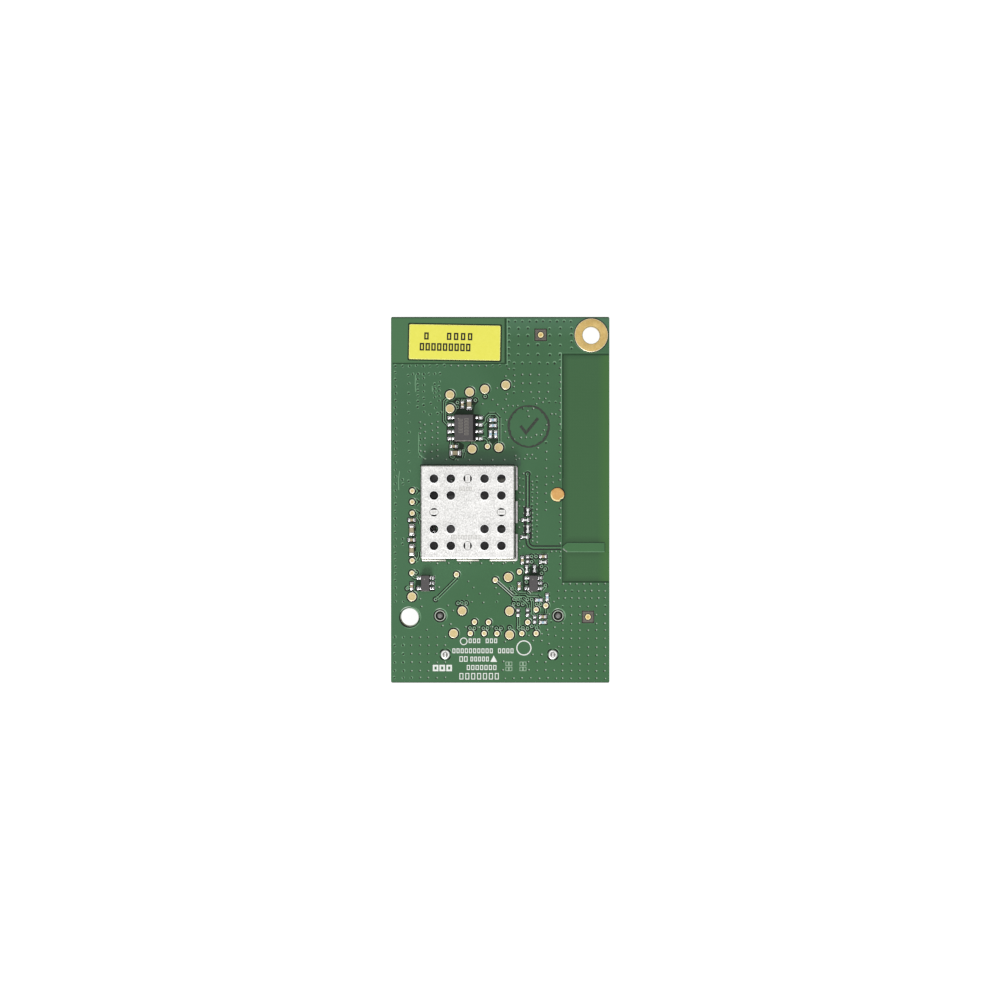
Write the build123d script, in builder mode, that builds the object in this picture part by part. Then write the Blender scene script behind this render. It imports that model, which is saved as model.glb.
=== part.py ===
from build123d import *
import os

# Plug-in wifi module: a shielded radio board with a right-angle connector underneath.
# Frame: +Z up on the shielded side, +Y along the length away from the connector,
# origin at the middle of the board in X and Y and at the connector's lowest face in Z.

# Board
BOARD_W = 40.0
BOARD_L = 67.0
BOARD_T = 1.6
BOARD_CORNER = 0.2
COPPER_STEP = 0.05
PLATE_T = 0.04

# Layout grid: the board is 40 steps wide and 67 steps long
STEP_X = BOARD_W / 40
STEP_Y = BOARD_L / 67

# Screw hole, set in from the nearest edges
SCREW_HOLE_D = 3.2
SCREW_RING_D = 6.15
SCREW_IN_X = 3.32
SCREW_IN_Y = 3.34

# Locating hole, set at a share of the way from the connector's ear to the left edge
LOCATING_HOLE_D = 3.25
LOCATING_SHARE = 0.5586
LOCATING_IN_Y = 12.0

# Label, and the area without copper round it
LABEL_W = 16.7
LABEL_L = 6.4
LABEL_T = 0.1
LABEL_TURN = -1.0
LABEL_FROM_LEFT = 3.32
LABEL_FROM_TOP = 1.47
LABEL_CLEAR_RIGHT = 1.06
LABEL_CLEAR_BELOW = 0.61

# Antenna area without copper, its feed stub and the radio line
KEEPOUT_W = 8.59
KEEPOUT_L = 41.78 * STEP_Y
KEEPOUT_IN_Y = 6.83
FEED_W = 1.64
FEED_END_IN = 0.84
FEED_TAPER = 0.92
LINE_CLEAR = 1.87
LINE_W = 0.35
LINE_GAP = 0.25
LINE_BEND_R = 1.2
LINE_TOP = 4.71 * STEP_Y
LINE_TURN = -8.77 * STEP_Y
LINE_PAD_D = 0.6
PART_POCKET_W = 1.5
PART_POCKET_TOP = -1.2 * STEP_Y
PART_POCKET_END = -7.2 * STEP_Y

# Test pads, fiducials, spot and stamp
LARGE_PAD_D = 1.65
SMALL_PAD_D = 1.0
FIDUCIAL_D = 1.05
SPOT_D = 2.5
SPOT_T = 0.08
SPOT_BITE_R = 0.5
SPOT_BITE_OUT = 1.0
SPOT_CLEAR = 0.93
STAMP_D = 7.85
STAMP_STROKE = 0.4
STAMP_T = 0.02

# Sides of the many-sided outlines that stand for small circles
SMALL_SIDES = 12
MEDIUM_SIDES = 16
LARGE_SIDES = 30

# Shield: cover, frame and sheet
SHIELD_W = 17 * STEP_X
SHIELD_L = 17.05 * STEP_Y
SHIELD_H = 2.6
SHEET_T = 0.2
COVER_EDGE_R = 0.3
COVER_LIFT = 0.3
FLARE_H = 0.9
FLARE_RIGHT = 0.27
FLARE_FRONT = 0.1
FOOT_RIGHT = 0.33
FOOT_FRONT = 0.32
NOTCH_W = 2.0
NOTCH_ALONG = 6.02
NOTCH_TOP_WALL = 0.65
VENT_D = 1.54
VENT_EDGE = 2.4
VENT_STRIP_W = 1.0
FRAME_FIT = 0.05
FLANGE_W = 0.75
GUSSET = 1.5
CASTLE_W = 1.6
CASTLE_H = 0.35

# Pieces under the shield
RADIO_SHARE = 0.41
RADIO_H = 0.9
RADIO_MARK = 0.5
CRYSTAL_W = 2.5
CRYSTAL_L = 2.0
CRYSTAL_H = 0.75
CRYSTAL_LID_H = 0.22
CRYSTAL_LID_IN = 0.15
CRYSTAL_FROM_WALL = 1.95
COIL_W = 2.5
COIL_H = 1.2
COIL_BASE_H = 0.4
COIL_ROUND_D = 2.25
LEFT_FROM_WALL = 2.3
FILTER_W = 2.0
FILTER_L = 1.25
FILTER_H = 0.7
RIGHT_FROM_WALL = 2.8

# Moulded chip bodies and their leads
MEMORY_W = 3.9
MEMORY_H = 1.5
MEMORY_PITCH = 1.27
MEMORY_LEAD_W = 0.45
MEMORY_LEAD_OUT = 1.05
MEMORY_END = 0.32
MEMORY_BEVEL = 0.4
REGULATOR_W = 1.6
REGULATOR_H = 1.1
REGULATOR_PITCH = 0.95
REGULATOR_LEAD_W = 0.4
REGULATOR_LEAD_OUT = 0.6
REGULATOR_END = 0.3
LEAD_T = 0.2
LEAD_SHOULDER = 0.3
LEAD_DROP = 0.5
LEAD_LAND_L = 0.8
BODY_LIFT = 0.1
MOULD_DRAFT = 8

# Chip parts: length, width, height and soldered end of each kind
LARGE_CAP_L = 1.6
LARGE_CAP_W = 0.8
LARGE_CAP_H = 0.8
LARGE_CAP_END = 0.35
SMALL_CAP_L = 1.0
SMALL_CAP_W = 0.5
SMALL_CAP_H = 0.5
RESISTOR_H = 0.35
SMALL_END = 0.25
END_WRAP = 0.02
LAND_T = 0.04
LAND_REACH = 0.18

# Connector under the board: contacts, shroud and its mouth
CONNECTOR_H = 4.6
CONNECTOR_IN_Y = 0.3
CONTACT_COLUMNS = 12
CONTACT_PITCH = 1.27
CONTACT_ROW = 1.27
CONTACT_W = 0.32
CONTACT_T = 0.25
CONTACT_IN = 1.0
CONTACT_BACK = 0.35
CONTACT_FOOT = 0.9
MOUTH_WALL = 0.85
MOUTH_SIDE = 1.6
MOUTH_DEPTH = 6.6
MOUTH_LEAD = 0.35
SHROUD_SIDE = 0.48
KEY_W = 3.0
KEY_DEPTH = 4.0

# Connector pegs, ears and hold-down tabs
PEG_OUT = 1.115
PEG_IN_Y = 12.26
PEG_D = 1.4
PEG_TIP = 0.12
PEG_CLEAR = 0.25
PEG_BELOW_TOP = 0.2
EAR_WALL = 0.55
EAR_L = 4.2
TAB_IN_Y = 5.15
TAB_T = 0.3
TAB_L = 3.4
TAB_LEG_W = 0.8
TAB_ABOVE = 0.4
TAB_RAISE = 0.9
TAB_CLEAR = 0.3
SOLDER_RIM = 0.3
SOLDER_H = 0.34
SOLDER_SLOPE = 45

# Levels and edges
BOARD_Z = CONNECTOR_H
TOP_Z = BOARD_Z + BOARD_T
LAND_Z = TOP_Z + LAND_T
BARE_Z = TOP_Z - COPPER_STEP
RIGHT_X = BOARD_W / 2
TOP_Y = BOARD_L / 2

# Sizes that follow from the ones above
BARE_W = LABEL_FROM_LEFT + LABEL_W + LABEL_CLEAR_RIGHT
BARE_L = LABEL_FROM_TOP + LABEL_L + LABEL_CLEAR_BELOW
RADIO_W = RADIO_SHARE * SHIELD_W
VENT_PITCH_X = (SHIELD_W - 2 * VENT_EDGE) / 4
VENT_PITCH_Y = (SHIELD_L - 2 * VENT_EDGE) / 4
MEMORY_L = 3 * MEMORY_PITCH + MEMORY_LEAD_W + 2 * MEMORY_END
MEMORY_SPAN = MEMORY_W + 2 * MEMORY_LEAD_OUT
REGULATOR_L = 2 * REGULATOR_PITCH + REGULATOR_LEAD_W + 2 * REGULATOR_END
REGULATOR_SPAN = REGULATOR_W + 2 * REGULATOR_LEAD_OUT
MOUTH_W = CONTACT_COLUMNS * CONTACT_PITCH + 2 * MOUTH_SIDE
MOUTH_H = CONNECTOR_H - 2 * MOUTH_WALL
SHROUD_W = MOUTH_W + 2 * SHROUD_SIDE
PEG_SPACING = SHROUD_W + 2 * PEG_OUT
PEG_HOLE_D = PEG_D + PEG_CLEAR
EAR_SPAN = PEG_SPACING + PEG_D + 2 * EAR_WALL
TAB_SPACING = SHROUD_W + TAB_T
TAB_HOLE_D = TAB_LEG_W + TAB_CLEAR
SOLDER_D = TAB_HOLE_D + 2 * SOLDER_RIM


def on_board(x, y):
    """A place on the layout grid, counted in steps from the middle of the board."""
    return (x * STEP_X, y * STEP_Y)


# Main places
SCREW_AT = (RIGHT_X - SCREW_IN_X, TOP_Y - SCREW_IN_Y)
LABEL_AT = (LABEL_FROM_LEFT + LABEL_W / 2 - RIGHT_X, TOP_Y - LABEL_FROM_TOP - LABEL_L / 2)
KEEPOUT_X = RIGHT_X - KEEPOUT_W
KEEPOUT_TOP = TOP_Y - KEEPOUT_IN_Y
SHIELD_X, SHIELD_Y = on_board(-5.93, -2.28)
MEMORY_AT = on_board(-6.43, 13.13)
CONNECTOR_X = -0.21 * STEP_X
EAR_X = CONNECTOR_X - EAR_SPAN / 2
LOCATING_AT = (EAR_X - LOCATING_SHARE * (EAR_X + RIGHT_X), LOCATING_IN_Y - TOP_Y)
PEG_Y = PEG_IN_Y - TOP_Y
TAB_Y = TAB_IN_Y - TOP_Y
COVER_RIGHT = SHIELD_X + SHIELD_W / 2 + FLARE_RIGHT + FOOT_RIGHT
LINE_X = COVER_RIGHT + LINE_CLEAR
LINE_START = (LINE_X, LINE_TOP)
COVER_TOP_Z = TOP_Z + SHIELD_H


def by_line(x, y):
    """A place in the group of parts that follows the radio line, in steps from that line."""
    return (LINE_X + x * STEP_X, y * STEP_Y)


# Test pads, counted in layout steps
LARGE_PADS = [
    on_board(-9.21, 19.23), on_board(-5.60, 19.73), on_board(-2.82, 20.26), on_board(1.01, 21.01),
    on_board(-9.19, 16.68), on_board(-5.16, 9.29), on_board(-0.27, 9.56), on_board(-16.17, -17.75),
    on_board(-6.98, -20.33), on_board(-8.55, -24.47), on_board(1.48, -14.18), on_board(1.72, -20.38),
    on_board(1.72, -24.73),
]
SMALL_PADS = [
    on_board(-2.33, 9.78), on_board(-16.12, 1.63), on_board(-16.12, -0.40), on_board(-16.12, -2.44),
    on_board(-16.12, -11.14), on_board(-16.17, -13.42), on_board(-8.00, -13.68), on_board(-0.90, -14.71),
    on_board(-4.71, -22.38), on_board(-2.14, -22.42), on_board(-5.46, -24.47), on_board(-2.93, -24.47),
    on_board(-0.60, -24.49), by_line(-1.51, -13.19), by_line(3.31, -19.38), by_line(1.55, -20.13),
    by_line(0, -22.42), by_line(-1.07, -24.47), by_line(1.54, -24.47),
]
FIDUCIALS = [on_board(7.42, 30.2), on_board(16.08, -21.45)]
SPOT_AT = (KEEPOUT_X - SPOT_CLEAR, 0.95 * STEP_Y)
STAMP_AT = on_board(5.22, 13.44)

# Chip parts: place and turn, 0 along X and 90 along Y
LARGE_CAPS = [
    (on_board(-5.68, 17.49), 90), (on_board(-8.24, 8.55), 0), (on_board(-16.19, -5.53), 90),
    (on_board(-16.19, -9.21), 90),
]
SMALL_CAPS = [
    (on_board(-6.92, 17.44), 90), (on_board(-8.52, 9.78), 0), (on_board(-16.19, -3.70), 0),
    (on_board(-16.23, -7.33), 0), (on_board(-16.21, -15.79), 90), (by_line(-0.99, -11.04), 90),
    (by_line(2.82, -10.38), 0), (by_line(-1.56, -15.79), 90), (by_line(2.78, -21.39), 0),
]
RESISTORS = [
    (on_board(-1.32, 14.62), 0), (on_board(-1.30, 13.59), 0), (on_board(-1.78, 12.03), 90),
    (on_board(-0.82, 12.03), 90), (by_line(2.05, -18.35), 0), (by_line(2.78, -22.44), 0),
    (by_line(3.55, -17.84), 90), (by_line(-0.02, -10.90), 90), (by_line(-1.78, -20.66), 90),
    (by_line(-0.02, -20.64), 90), (by_line(1.28, -21.92), 90),
]
MATCHING_PARTS = [
    (by_line(0, -2.20), 90), (by_line(0, -5.31), 90), (by_line(-0.41, -3.70), 0),
    (by_line(-0.57, -6.83), 0), (by_line(2.82, -11.39), 0), (by_line(-0.19, -12.69), 90),
    (by_line(1.24, -12.66), 90),
]
LEFT_REGULATOR_AT = on_board(-13.68, -15.26)
RIGHT_REGULATOR_AT = by_line(1.06, -15.26)

# Pieces under the shield: a column inside each side wall, and the radio chip between them
LEFT_COLUMN_X = SHIELD_X - SHIELD_W / 2 + LEFT_FROM_WALL
RIGHT_COLUMN_X = SHIELD_X + SHIELD_W / 2 - RIGHT_FROM_WALL


def in_shield(x, y):
    """A place under the shield, as shares of its width and length from its middle."""
    return (SHIELD_X + x * SHIELD_W, SHIELD_Y + y * SHIELD_L)


def in_column(x, y):
    """A place in a column under the shield, at a share of its length from its middle."""
    return (x, SHIELD_Y + y * SHIELD_L)


RADIO_AT = in_shield(-0.035, -0.024)
CRYSTAL_AT = in_column(SHIELD_X + SHIELD_W / 2 - CRYSTAL_FROM_WALL, 0.305)
COIL_AT = in_column(LEFT_COLUMN_X, 0.211)
FILTER_AT = in_column(RIGHT_COLUMN_X, -0.129)
INNER_CAPS = [
    (in_column(LEFT_COLUMN_X, 0.012), 90), (in_column(LEFT_COLUMN_X, -0.17), 90),
    (in_shield(0.024, 0.328), 0), (in_shield(-0.141, 0.328), 0), (in_shield(0.071, -0.346), 0),
    (in_column(RIGHT_COLUMN_X, 0.035), 90),
]


def part_spots(places):
    """Locations for chip parts from their places and turns."""
    return [Location((at[0], at[1], 0), (0, 0, turn)) for at, turn in places]


def end_spots(places, length, end):
    """Locations for the two soldered ends of each chip part."""
    out = (length - end) / 2
    return [spot * Location((side * out, 0, 0)) for spot in part_spots(places) for side in (-1, 1)]


def chip_bodies(places, length, width, height, end):
    """Ceramic middles of chip parts, between their soldered ends."""
    with BuildPart() as bodies:
        with BuildSketch(Plane.XY.offset(LAND_Z)):
            with Locations(*part_spots(places)):
                Rectangle(length - 2 * end, width)
        extrude(amount=height)
    return bodies


def chip_ends(places, length, width, height, end):
    """Soldered ends of chip parts, a little larger than the body all round."""
    with BuildPart() as ends:
        with BuildSketch(Plane.XY.offset(LAND_Z)):
            with Locations(*end_spots(places, length, end)):
                Rectangle(end, width + 2 * END_WRAP)
        extrude(amount=height + END_WRAP)
    return ends


def add_lands(places, length, width, end):
    """Land rectangles for chip parts, added to the sketch that calls this."""
    with Locations(*end_spots(places, length + 2 * LAND_REACH, end + LAND_REACH)):
        Rectangle(end + LAND_REACH, width + 2 * END_WRAP)


def moulded_body(at, width, length, height, bevel):
    """Moulded chip body: a straight band at the leads, with drafted halves above and below."""
    base = LAND_Z + BODY_LIFT
    band = base + (height - LEAD_T) / 2
    with BuildPart() as body:
        with BuildSketch(Plane.XY.offset(band)) as outline:
            with Locations(at):
                Rectangle(width, length)
        extrude(amount=LEAD_T)
        extrude(outline.sketch, amount=(height - LEAD_T) / 2, dir=(0, 0, -1), taper=MOULD_DRAFT)
        with BuildSketch(Plane.XY.offset(band + LEAD_T)):
            with Locations(at):
                Rectangle(width, length)
        extrude(amount=(height - LEAD_T) / 2, taper=MOULD_DRAFT)
        if bevel > 0:
            top_edges = body.faces().sort_by(Axis.Z)[-1].edges()
            chamfer(top_edges.sort_by(Axis.X)[-1], length=bevel)
    return body


def lead_profile(body_half, tip, shoulder_z):
    """Side view of one gull-wing lead: shoulder at the body, slanted drop, flat foot."""
    reach = tip - body_half
    shoulder = body_half + LEAD_SHOULDER * reach
    foot = body_half + LEAD_DROP * reach
    low = LAND_Z
    top = shoulder_z + LEAD_T
    return [
        (body_half, shoulder_z), (shoulder, shoulder_z), (foot - LEAD_T / 2, low), (tip, low),
        (tip, low + LEAD_T), (foot + LEAD_T / 2, low + LEAD_T), (shoulder + LEAD_T, top), (body_half, top),
    ]


def gull_leads(at, width, height, span, lead_w, left_rows, right_rows):
    """Leads down both sides of a moulded body, at the given rows along Y."""
    shoulder_z = LAND_Z + BODY_LIFT + (height - LEAD_T) / 2
    profile = lead_profile(width / 2, span / 2, shoulder_z)
    with BuildPart() as leads:
        for side, rows in ((-1, left_rows), (1, right_rows)):
            for row in rows:
                with BuildSketch(Plane.XZ.offset(-(at[1] + row))):
                    with BuildLine():
                        Polyline(*[(at[0] + side * x, z) for x, z in profile], close=True)
                    make_face()
                extrude(amount=lead_w / 2, both=True)
    return leads


def add_lead_lands(at, span, lead_w, left_rows, right_rows):
    """Land rectangles under gull-wing feet, added to the sketch that calls this."""
    middle = span / 2 + LAND_REACH - LEAD_LAND_L / 2
    spots = [(at[0] - middle, at[1] + row) for row in left_rows]
    spots += [(at[0] + middle, at[1] + row) for row in right_rows]
    with Locations(*spots):
        Rectangle(LEAD_LAND_L, lead_w + 2 * END_WRAP)


MEMORY_ROWS = [(i - 1.5) * MEMORY_PITCH for i in range(4)]
REGULATOR_LEFT_ROWS = [-REGULATOR_PITCH, REGULATOR_PITCH]
REGULATOR_RIGHT_ROWS = [-REGULATOR_PITCH, 0, REGULATOR_PITCH]

# Notches and vents of the cover, from the middle of the shield
NOTCH_STEPS = [-NOTCH_ALONG / 2, NOTCH_ALONG / 2]
VENT_STEPS = [-2, -1, 0, 1, 2]
ROUND_VENTS = [(i, j) for i in VENT_STEPS for j in VENT_STEPS if i != 0 and j != 0]
STRIP_VENTS = [(0, 2, 90), (0, -2, 90), (-2, 0, 0), (2, 0, 0)]

# Connector places
PEGS = [(CONNECTOR_X - PEG_SPACING / 2, PEG_Y), (CONNECTOR_X + PEG_SPACING / 2, PEG_Y)]
TABS = [(CONNECTOR_X - TAB_SPACING / 2, TAB_Y), (CONNECTOR_X + TAB_SPACING / 2, TAB_Y)]
HOUSING_FRONT_Y = CONNECTOR_IN_Y - TOP_Y
HOUSING_BACK_Y = PEG_Y + PEG_D / 2 + EAR_WALL
MOUTH_MID_Z = CONNECTOR_H / 2
RISER_Y = HOUSING_BACK_Y + CONTACT_BACK
CONTACT_END_Y = RISER_Y + CONTACT_T + CONTACT_FOOT


def contact_columns(row):
    """Middle X of each contact in a row, the lower row half a step to the right."""
    shift = CONTACT_PITCH / 4 * (1 if row == 0 else -1)
    start = CONNECTOR_X - (CONTACT_COLUMNS - 1) * CONTACT_PITCH / 2 + shift
    return [start + i * CONTACT_PITCH for i in range(CONTACT_COLUMNS)]


def contact_row_z(row):
    """Middle height of a contact row, 0 for the lower and 1 for the upper."""
    return MOUTH_MID_Z + (row - 0.5) * CONTACT_ROW


# Circuit board, with its bare areas a copper step lower and the radio line standing in them
with BuildPart() as circuit_board:
    with BuildSketch(Plane.XY.offset(BOARD_Z)):
        Rectangle(BOARD_W, BOARD_L)
    extrude(amount=BOARD_T)
    chamfer(circuit_board.edges().filter_by(Axis.Z), length=BOARD_CORNER)
    with BuildSketch(Plane.XY.offset(TOP_Z)):
        with Locations((-RIGHT_X, TOP_Y)):
            Rectangle(BARE_W, BARE_L, align=(Align.MIN, Align.MAX))
        with Locations((RIGHT_X, KEEPOUT_TOP)):
            Rectangle(KEEPOUT_W, KEEPOUT_L, align=(Align.MAX, Align.MAX))
        bend_from = (LINE_X, LINE_TURN + LINE_BEND_R)
        bend_to = (LINE_X + LINE_BEND_R, LINE_TURN)
        feed_from = KEEPOUT_X + FEED_TAPER
        feed_to = RIGHT_X - FEED_END_IN
        with BuildLine() as line_path:
            Line(LINE_START, bend_from)
            TangentArc(bend_from, bend_to, tangent=(0, -1))
            Line(bend_to, (feed_from, LINE_TURN))
        trace(line_path.line, line_width=LINE_W + 2 * LINE_GAP)
        with Locations(LINE_START):
            RegularPolygon(LINE_PAD_D / 2 + LINE_GAP, MEDIUM_SIDES)
        with Locations((LINE_X, PART_POCKET_TOP)):
            pocket_l = PART_POCKET_TOP - PART_POCKET_END
            Rectangle(PART_POCKET_W, pocket_l, align=(Align.CENTER, Align.MAX))
        trace(line_path.line, line_width=LINE_W, mode=Mode.SUBTRACT)
        with Locations(LINE_START):
            RegularPolygon(LINE_PAD_D / 2, SMALL_SIDES, mode=Mode.SUBTRACT)
        with BuildLine():
            Polyline(
                (KEEPOUT_X, LINE_TURN - LINE_W / 2), (feed_from, LINE_TURN - FEED_W / 2),
                (feed_to, LINE_TURN - FEED_W / 2), (feed_to, LINE_TURN + FEED_W / 2),
                (feed_from, LINE_TURN + FEED_W / 2), (KEEPOUT_X, LINE_TURN + LINE_W / 2),
                close=True,
            )
        make_face(mode=Mode.SUBTRACT)
    extrude(amount=-COPPER_STEP, mode=Mode.SUBTRACT)
    with BuildSketch(Plane.XY.offset(BOARD_Z)):
        with Locations(SCREW_AT):
            Circle(SCREW_HOLE_D / 2)
        with Locations(LOCATING_AT):
            Circle(LOCATING_HOLE_D / 2)
        with Locations(*PEGS):
            Circle(PEG_HOLE_D / 2)
        with Locations(*TABS):
            Circle(TAB_HOLE_D / 2)
    extrude(amount=BOARD_T, mode=Mode.SUBTRACT)

# Plated rings round the screw hole, one on each face of the board
with BuildPart() as ground_ring:
    for low in (BOARD_Z - PLATE_T, TOP_Z):
        with BuildSketch(Plane.XY.offset(low)):
            with Locations(SCREW_AT):
                RegularPolygon(SCREW_RING_D / 2, LARGE_SIDES)
                Circle(SCREW_HOLE_D / 2, mode=Mode.SUBTRACT)
        extrude(amount=PLATE_T)


def flat_discs(places, diameter, sides, thickness):
    """Round pads that lie on the board's top face."""
    with BuildPart() as discs:
        with BuildSketch(Plane.XY.offset(TOP_Z)):
            with Locations(*places):
                RegularPolygon(diameter / 2, sides)
        extrude(amount=thickness)
    return discs


large_test_pads = flat_discs(LARGE_PADS, LARGE_PAD_D, MEDIUM_SIDES, PLATE_T)
small_test_pads = flat_discs(SMALL_PADS, SMALL_PAD_D, SMALL_SIDES, PLATE_T)
fiducial_dots = flat_discs(FIDUCIALS, FIDUCIAL_D, SMALL_SIDES, PLATE_T)

# Paint spot, with a small bite out of its lower right edge
with BuildPart() as inspection_spot:
    with BuildSketch(Plane.XY.offset(TOP_Z)):
        with Locations(SPOT_AT):
            RegularPolygon(SPOT_D / 2, MEDIUM_SIDES)
        with Locations((SPOT_AT[0] + SPOT_BITE_OUT, SPOT_AT[1] - SPOT_BITE_OUT)):
            RegularPolygon(SPOT_BITE_R, SMALL_SIDES, mode=Mode.SUBTRACT)
    extrude(amount=SPOT_T)

# Inked ring of an inspection stamp
with BuildPart() as stamp_ring:
    with BuildSketch(Plane.XY.offset(TOP_Z)):
        with Locations(STAMP_AT):
            RegularPolygon(STAMP_D / 2, LARGE_SIDES)
            RegularPolygon(STAMP_D / 2 - STAMP_STROKE, LARGE_SIDES, mode=Mode.SUBTRACT)
    extrude(amount=STAMP_T)

# Stick-on label in the bare area
with BuildPart() as yellow_label:
    with BuildSketch(Plane.XY.offset(BARE_Z)):
        with Locations(Location((LABEL_AT[0], LABEL_AT[1], 0), (0, 0, LABEL_TURN))):
            Rectangle(LABEL_W, LABEL_L)
    extrude(amount=LABEL_T)


def add_cover_layers(inset, foot_z):
    """Straight upper wall and flared lower wall of the cover, taken in by an inset."""
    wide = SHIELD_W - 2 * inset
    long = SHIELD_L - 2 * inset
    flare_z = TOP_Z + FLARE_H
    mode = Mode.ADD if inset == 0 else Mode.SUBTRACT
    with BuildSketch(Plane.XY.offset(flare_z)) as high:
        with Locations((SHIELD_X, SHIELD_Y)):
            Rectangle(wide, long)
    with BuildSketch(Plane.XY.offset(foot_z)) as low:
        with Locations((SHIELD_X + FLARE_RIGHT / 2, SHIELD_Y - FLARE_FRONT / 2)):
            Rectangle(wide + FLARE_RIGHT, long + FLARE_FRONT)
    extrude(high.sketch, amount=SHIELD_H - FLARE_H - inset, mode=mode)
    loft([low.sketch, high.sketch], mode=mode)


# Shield cover: drawn sheet with spring skirts in three tabs a side, feet on the right and front
with BuildPart() as shield_cover:
    foot_z = TOP_Z + COVER_LIFT
    add_cover_layers(0, foot_z)
    fillet(shield_cover.faces().sort_by(Axis.Z)[-1].edges(), radius=COVER_EDGE_R)
    with BuildSketch(Plane.XY.offset(foot_z)):
        reach_x = FLARE_RIGHT + FOOT_RIGHT
        reach_y = FLARE_FRONT + FOOT_FRONT
        with Locations((SHIELD_X + reach_x / 2, SHIELD_Y - reach_y / 2)):
            Rectangle(SHIELD_W + reach_x, SHIELD_L + reach_y)
    extrude(amount=SHEET_T)
    add_cover_layers(SHEET_T, foot_z)
    with BuildSketch(Plane.XY.offset(foot_z)):
        for step in NOTCH_STEPS:
            with Locations((SHIELD_X, SHIELD_Y + step)):
                Rectangle(2 * SHIELD_W, NOTCH_W)
            with Locations((SHIELD_X + step, SHIELD_Y)):
                Rectangle(NOTCH_W, 2 * SHIELD_L)
    extrude(amount=SHIELD_H - COVER_LIFT - NOTCH_TOP_WALL, mode=Mode.SUBTRACT)
    with BuildSketch(Plane.XY.offset(COVER_TOP_Z)):
        for i, j in ROUND_VENTS:
            with Locations((SHIELD_X + i * VENT_PITCH_X, SHIELD_Y + j * VENT_PITCH_Y)):
                RegularPolygon(VENT_D / 2, MEDIUM_SIDES)
        for i, j, turn in STRIP_VENTS:
            with Locations((SHIELD_X + i * VENT_PITCH_X, SHIELD_Y + j * VENT_PITCH_Y)):
                RegularPolygon(VENT_D / 2, MEDIUM_SIDES)
                Rectangle(2 * VENT_D, VENT_STRIP_W, rotation=turn, mode=Mode.SUBTRACT)
    extrude(amount=-SHEET_T, mode=Mode.SUBTRACT)

# Shield frame: soldered fence with a pick-up flange and gusseted corners
FRAME_W = SHIELD_W - 2 * (SHEET_T + FRAME_FIT)
FRAME_L = SHIELD_L - 2 * (SHEET_T + FRAME_FIT)
FRAME_H = SHIELD_H - SHEET_T
with BuildPart() as shield_frame:
    with BuildSketch(Plane.XY.offset(TOP_Z)):
        with Locations((SHIELD_X, SHIELD_Y)):
            Rectangle(FRAME_W, FRAME_L)
            Rectangle(FRAME_W - 2 * SHEET_T, FRAME_L - 2 * SHEET_T, mode=Mode.SUBTRACT)
    extrude(amount=FRAME_H)
    with BuildSketch(Plane.XY.offset(TOP_Z + FRAME_H - SHEET_T)) as flange:
        with Locations((SHIELD_X, SHIELD_Y)):
            Rectangle(FRAME_W, FRAME_L)
            Rectangle(FRAME_W - 2 * FLANGE_W, FRAME_L - 2 * FLANGE_W, mode=Mode.SUBTRACT)
        window_corners = flange.vertices().sort_by_distance((SHIELD_X, SHIELD_Y))[:4]
        chamfer(window_corners, length=GUSSET)
    extrude(amount=SHEET_T)
    with BuildSketch(Plane.XY.offset(TOP_Z)):
        for step in NOTCH_STEPS:
            with Locations((SHIELD_X, SHIELD_Y + step)):
                Rectangle(2 * FRAME_W, CASTLE_W)
            with Locations((SHIELD_X + step, SHIELD_Y)):
                Rectangle(CASTLE_W, 2 * FRAME_L)
    extrude(amount=CASTLE_H, mode=Mode.SUBTRACT)

# Radio chip in a flat leadless package, with a chamfered corner mark
with BuildPart() as radio_chip:
    with BuildSketch(Plane.XY.offset(TOP_Z)):
        with Locations(RADIO_AT):
            Rectangle(RADIO_W, RADIO_W)
    extrude(amount=RADIO_H)
    corners = radio_chip.edges().filter_by(Axis.Z).sort_by(lambda edge: edge.center().X - edge.center().Y)
    chamfer(corners[0], length=RADIO_MARK)

# Crystal: metal can with a stepped lid
with BuildPart() as crystal:
    with BuildSketch(Plane.XY.offset(TOP_Z)):
        with Locations(CRYSTAL_AT):
            Rectangle(CRYSTAL_W, CRYSTAL_L)
    extrude(amount=CRYSTAL_H - CRYSTAL_LID_H)
    with BuildSketch(Plane.XY.offset(TOP_Z + CRYSTAL_H - CRYSTAL_LID_H)):
        with Locations(CRYSTAL_AT):
            Rectangle(CRYSTAL_W - 2 * CRYSTAL_LID_IN, CRYSTAL_L - 2 * CRYSTAL_LID_IN)
    extrude(amount=CRYSTAL_LID_H)

# Supply coil: square ferrite base with a round winding cover
with BuildPart() as supply_coil:
    with BuildSketch(Plane.XY.offset(TOP_Z)):
        with Locations(COIL_AT):
            Rectangle(COIL_W, COIL_W)
    extrude(amount=COIL_BASE_H)
    with BuildSketch(Plane.XY.offset(TOP_Z + COIL_BASE_H)):
        with Locations(COIL_AT):
            RegularPolygon(COIL_ROUND_D / 2, MEDIUM_SIDES)
    extrude(amount=COIL_H - COIL_BASE_H)

# Antenna filter: flat ceramic block
with BuildPart() as antenna_filter:
    with BuildSketch(Plane.XY.offset(TOP_Z)):
        with Locations(FILTER_AT):
            Rectangle(FILTER_W, FILTER_L)
    extrude(amount=FILTER_H)

inner_cap_bodies = chip_bodies(INNER_CAPS, SMALL_CAP_L, SMALL_CAP_W, SMALL_CAP_H, SMALL_END)
inner_cap_ends = chip_ends(INNER_CAPS, SMALL_CAP_L, SMALL_CAP_W, SMALL_CAP_H, SMALL_END)

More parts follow.
